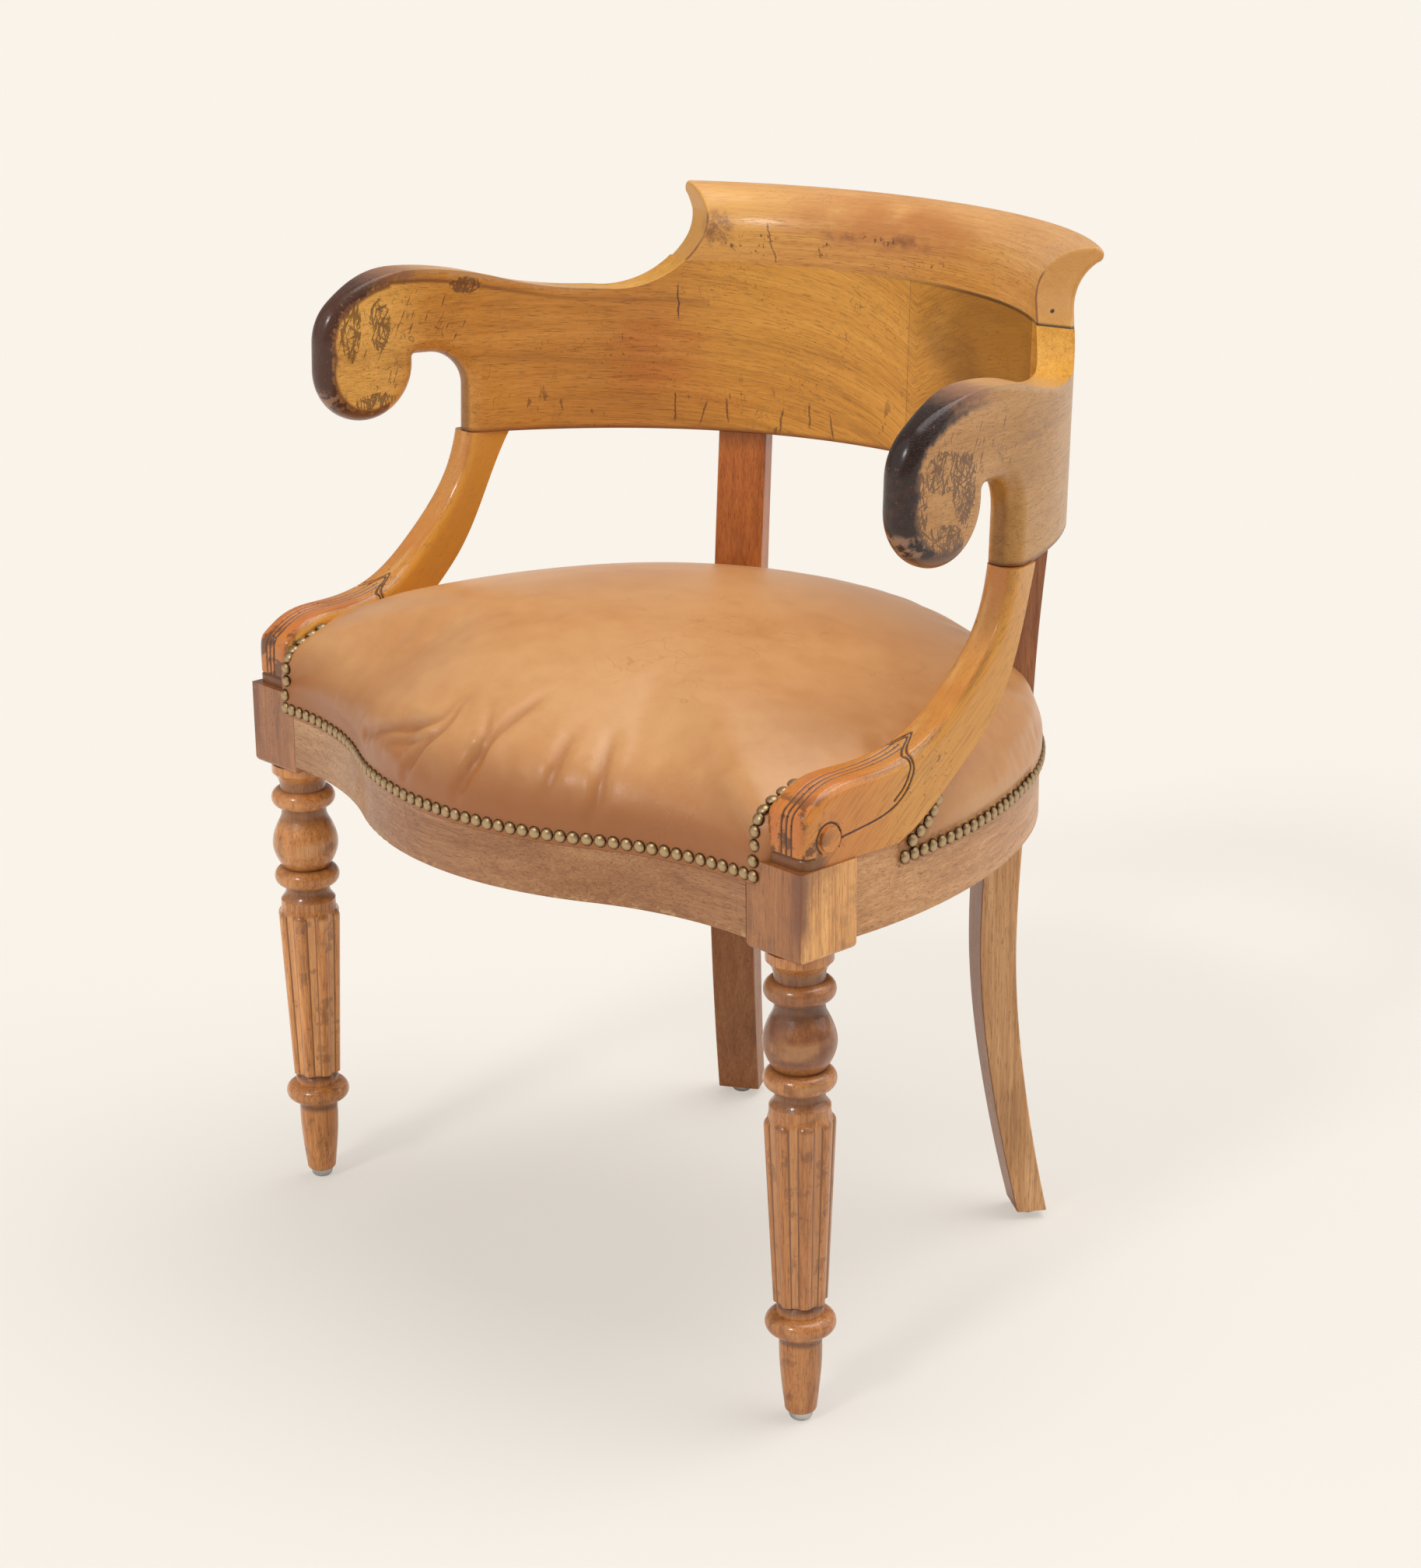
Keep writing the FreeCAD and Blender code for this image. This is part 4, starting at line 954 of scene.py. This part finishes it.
# Stuffing: a dome of curled hair under the leather, resting on the base cloth.
# It is hidden, and only its form is felt through the leather.
def curled_hair():
    material, place = finish("curled hair")
    strands = hairlines(place, 300.0, 0.05)
    colour = strands.ramp((0.055, 0.035, 0.024), (0.16, 0.11, 0.075))
    surface(place, colour, strands * 0.1 + 0.8, strands, 0.0004)
    return material


hair_depth = 0.0045
stuffed.normal_update()
inward = [point.normal * -hair_depth for point in stuffed.verts]
for point, move in zip(stuffed.verts, inward):
    point.co += move
cut_below(stuffed, seat_base)
bmesh.ops.holes_fill(stuffed, edges=stuffed.edges, sides=0)
hair = as_piece(stuffed, "hair_stuffing")
hair.data.materials.append(curled_hair())
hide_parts("stuffing")


# Nails: domed brass heads set edge to edge along the leather's hem and up beside the arm supports.
# Each was struck by hand, so no two sit quite alike; the brass is dull, dark round the rim.
nail_radius, nail_rise, nail_rim, nail_tilt = 0.00475, 0.0027, 0.0004, 0.09


def nail_head():
    """One head, spun from a quarter profile; its apex is up."""
    shape = bmesh.new()
    profile = ((nail_radius, -nail_rim), (nail_radius, nail_rim), (nail_radius * 0.86, nail_rise * 0.52),
               (nail_radius * 0.52, nail_rise * 0.88), (0.0, nail_rise))
    points = [shape.verts.new((radius, 0.0, z)) for radius, z in profile]
    edges = [shape.edges.new(pair) for pair in zip(points, points[1:])]
    bmesh.ops.spin(shape, geom=points + edges, axis=(0, 0, 1), cent=(0, 0, 0), angle=math.tau, steps=10,
                   use_merge=True)
    bmesh.ops.remove_doubles(shape, verts=shape.verts, dist=0.00001)
    bmesh.ops.holes_fill(shape, edges=shape.edges, sides=0)
    bmesh.ops.recalc_face_normals(shape, faces=shape.faces)
    return shape


def islands(shape):
    """The separate solids of a node, each as its list of faces."""
    left = set(shape.faces)
    while left:
        group = [left.pop()]
        for face in group:
            beside = {other for edge in face.edges for other in edge.link_faces} & left
            left -= beside
            group += beside
        yield group


def nail_places(name):
    """Where each head of a row sits and looks, from the node's own solids."""
    shape = bmesh.new()
    shape.from_mesh(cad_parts[name].data)
    bmesh.ops.remove_doubles(shape, verts=shape.verts, dist=0.00002)
    places = []
    for faces in islands(shape):
        points = {point for face in faces for point in face.verts}
        middle = sum((point.co for point in points), Vector()) / len(points)
        areas = {}
        for face in faces:
            key = tuple(round(part, 1) for part in face.normal)
            areas.setdefault(key, []).append(face)
        flat = max(areas.values(), key=lambda group: sum(face.calc_area() for face in group))
        facing = sum((face.normal for face in flat), Vector()).normalized()
        if facing.dot(middle - Vector((0.0, ring_centre, 0.40))) < 0:
            facing = -facing
        places.append((middle, facing))
    shape.free()
    return sorted(places, key=lambda spot: tuple(round(part, 4) for part in spot[0]))


def aged_brass():
    material, place = finish("aged brass")
    up = painted(place, "height")
    tarnish = place.noise(700.0, 4.0, 0.65)
    tone = (up * 0.75 + tarnish * 0.5 - 0.15).step(0.0, 0.80)
    colour = tone.ramp((0.035, 0.018, 0.009), (0.20, 0.118, 0.056), (0.50, 0.35, 0.19))
    surface(place, colour, 0.46 - up * 0.18 + tarnish * 0.12, tarnish, 0.00008, Metallic=1.0)
    return material


brass = aged_brass()
leather_skin = BVHTree.FromObject(seat, bpy.context.evaluated_depsgraph_get())
luck = random.Random(7)
for row in ("front_nails", "back_nails", "side_nails_right", "side_nails_left", "inner_nails_right",
            "inner_nails_left"):
    heads = bmesh.new()
    lift = heads.verts.layers.float.new("height")
    for middle, facing in nail_places(row):
        head = nail_head()
        tilt = Vector([luck.uniform(-nail_tilt, nail_tilt) for axis in range(3)])
        turn = (facing + tilt).to_track_quat("Z", "Y").to_matrix().to_4x4()
        hit = leather_skin.ray_cast(middle + facing * 0.012, -facing, 0.03)[0]
        seat_on = hit if hit is not None else middle - facing * 0.001
        before = len(heads.verts)
        draft = bpy.data.meshes.new("nail_draft")
        head.to_mesh(draft)
        head.free()
        draft.transform(Matrix.Translation(seat_on) @ turn)
        heads.from_mesh(draft)
        bpy.data.meshes.remove(draft)
        heads.verts.ensure_lookup_table()
        for point in heads.verts[before:]:
            point[lift] = max(0.0, (point.co - seat_on).dot(facing)) / nail_rise
    nails = as_piece(heads, row + "_domed")
    nails.data.materials.append(brass)
    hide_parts(row)


# Webbing and base cloth: jute strips laced over and under each other across the frame, tacked on the rails,
# with a plain hessian sheet stretched over them to carry the stuffing.
def woven(name, dark, pale, pitch):
    """Coarse plain weave: warp and weft threads crossing at this pitch in metres."""
    material, place = finish(name)
    turns = math.pi / pitch
    warp = place.math("SINE", place.axis(0) * turns)
    weft = place.math("SINE", place.axis(1) * turns)
    threads = (warp * weft + 1.0) * 0.5
    colour = (threads * 0.6 + place.noise(240.0, 3.0) * 0.4).step(0.2, 0.8).ramp(dark, pale)
    surface(place, colour, threads * 0.1 + 0.78, threads, 0.0005)
    return material


web_width, web_thickness, web_level, web_share = 0.046, 0.0012, 0.4115, 0.955
web_outline = [from_photo_frame(point.x, point.y, 0) for point in seat_outline(web_share)]
length_strips = [x / 1000 for x in (-195, -94, -32, 32, 94, 195)]
cross_strips = [y / 1000 + front_axes for y in (24, 98, 152, 206, 260)]
lacing, lacing_reach = 0.0006, 0.022


def reach_of(across, lengthwise):
    """Where a line across the frame at this place meets the webbing's outline, in metres."""
    axis, other = (1, 0) if lengthwise else (0, 1)
    meets = []
    for start, end in zip(web_outline, web_outline[1:] + web_outline[:1]):
        if (start[other] - across) * (end[other] - across) <= 0 and start[other] != end[other]:
            share = (across - start[other]) / (end[other] - start[other])
            meets.append(start[axis] + share * (end[axis] - start[axis]))
    return min(meets), max(meets)


def laced_strips(name, lengthwise):
    """Strips that run between the rails, each rising and dipping as it crosses the others."""
    shape = bmesh.new()
    strips, crossing = (length_strips, cross_strips) if lengthwise else (cross_strips, length_strips)
    for number, centre in enumerate(strips):
        grid = bmesh.ops.create_grid(shape, x_segments=64, y_segments=4, size=0.5)
        for point in grid["verts"]:
            across = centre + point.co.y * web_width
            start, end = reach_of(across, lengthwise)
            along = start + (point.co.x + 0.5) * (end - start)
            wave = 0.0
            for index, place in enumerate(crossing):
                over = 1 if (index + number) % 2 == 0 else -1
                wave += over * math.exp(-((along - place) / lacing_reach) ** 2)
            lift = web_level + lacing * (wave if lengthwise else -wave)
            point.co = (across, along, lift) if lengthwise else (along, across, lift)
    bmesh.ops.recalc_face_normals(shape, faces=shape.faces)
    bmesh.ops.solidify(shape, geom=shape.faces, thickness=web_thickness)
    return as_piece(shape, name + "_laced", False)


jute = woven("jute webbing", (0.20, 0.13, 0.065), (0.47, 0.34, 0.19), 0.0022)
for name, lengthwise in (("webbing_lengthwise", True), ("webbing_crosswise", False)):
    strips = laced_strips(name, lengthwise)
    strips.data.materials.append(jute)
    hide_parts(name)

cloth_level, cloth_share, cloth_thickness = 413.2, 0.96, 0.0007
cloth = bmesh.new()
outline = [from_photo_frame(point.x, point.y, cloth_level) for point in seat_outline(cloth_share)]
cloth.faces.new([cloth.verts.new(place) for place in outline])
bmesh.ops.recalc_face_normals(cloth, faces=cloth.faces)
bmesh.ops.triangulate(cloth, faces=cloth.faces)
cloth_area = sum(face.calc_area() for face in cloth.faces)
hessian = as_piece(cloth, "hessian_base", False)
body = hessian.modifiers.new("cloth thickness", "SOLIDIFY")
body.thickness = cloth_thickness
hessian.data.materials.append(woven("hessian", (0.25, 0.17, 0.09), (0.55, 0.42, 0.26), 0.0012))
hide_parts("base_cloth")


# Studio: a pale warm floor that runs back under the whole view, and an even sky.
# One small light and three broad ones stand for a window, the walls beside the chair and the ceiling.
floor_white, sky_light = 0.48, 0.32
paper = 0.945, 0.886, 0.806
floor_shape = bmesh.new()
bmesh.ops.create_grid(floor_shape, x_segments=1, y_segments=1, size=40.0)
floor_mesh = bpy.data.meshes.new("studio_floor")
floor_shape.to_mesh(floor_mesh)
floor_shape.free()
floor = bpy.data.objects.new("studio_floor", floor_mesh)
bpy.context.scene.collection.objects.link(floor)
floor_finish, floor_place = finish("pale floor")
floor_tone = floor_place.noise(1.2, 2.0).ramp((0.765, 0.740, 0.700), (0.775, 0.75, 0.71))
matt = floor_place.node("ShaderNodeBsdfDiffuse", None, {"Color": floor_tone})
whitened = floor_place.node("ShaderNodeEmission", None, {"Color": paper, "Strength": 1.0})
camera_sees = floor_place.node("ShaderNodeLightPath", None, None, 0) * floor_white
shaded = floor_place.node("ShaderNodeMixShader", None, {0: camera_sees, 1: matt, 2: whitened})
floor_place.node("ShaderNodeOutputMaterial", None, {"Surface": shaded})
floor_mesh.materials.append(floor_finish)

world = bpy.data.worlds.new("studio")
bpy.context.scene.world = world
world.use_nodes = True
world.node_tree.nodes.clear()
sky = Shade(world.node_tree, None)
seen = sky.node("ShaderNodeLightPath", None, None, 0)
lit = sky.node("ShaderNodeBackground", None, {"Color": (1.0, 0.975, 0.945), "Strength": sky_light})
shown = sky.node("ShaderNodeBackground", None, {"Color": paper, "Strength": 1.0})
both = sky.node("ShaderNodeMixShader", None, {0: seen, 1: lit, 2: shown})
sky.node("ShaderNodeOutputWorld", None, {"Surface": both})

camera_place = 1.8164, -1.6738, 1.1961
camera_turn, camera_rise, camera_roll = (math.radians(angle) for angle in (47.338, 18.850, -0.640))
level = Vector((math.cos(camera_turn), math.sin(camera_turn), 0.0))
toward = Vector((math.sin(camera_turn), -math.cos(camera_turn), 0.0))
back = toward * math.cos(camera_rise) + Vector((0.0, 0.0, math.sin(camera_rise)))
upward = back.cross(level)

# Each light: how far to the right, towards the camera and up it stands, strength, spread in degrees, colour
lights = {"left_light": (-0.50, 0.65, 0.70, 0.8, 11, (1.0, 0.98, 0.95)),
          "left_wall": (-0.85, 0.35, 0.50, 0.5, 70, (1.0, 0.98, 0.95)),
          "right_wall": (0.90, -0.10, 0.70, 0.8, 60, (1.0, 0.99, 0.97)),
          "top_light": (0.25, -0.10, 1.00, 1.7, 50, (1.0, 0.99, 0.97))}
for name, (right, near, above, strength, spread, colour) in lights.items():
    lamp = bpy.data.lights.new(name, "SUN")
    lamp.energy = strength
    lamp.angle = math.radians(spread)
    lamp.color = colour
    holder = bpy.data.objects.new(name, lamp)
    direction = level * right + toward * near + Vector((0.0, 0.0, above))
    holder.rotation_euler = direction.to_track_quat("Z", "Y").to_euler()
    bpy.context.scene.collection.objects.link(holder)

lens = bpy.data.cameras.new("camera")
lens.sensor_fit = "AUTO"
lens.sensor_width = lens.sensor_height = 36.0
lens.lens = 80.74
camera = bpy.data.objects.new("camera", lens)
across = level * math.cos(camera_roll) + upward * math.sin(camera_roll)
over = upward * math.cos(camera_roll) - level * math.sin(camera_roll)
turned_to_chair = Matrix((across, over, back)).transposed().to_4x4()
camera.matrix_world = Matrix.Translation(camera_place) @ turned_to_chair
bpy.context.scene.collection.objects.link(camera)
bpy.context.scene.camera = camera
bpy.context.scene.view_settings.view_transform = "Standard"
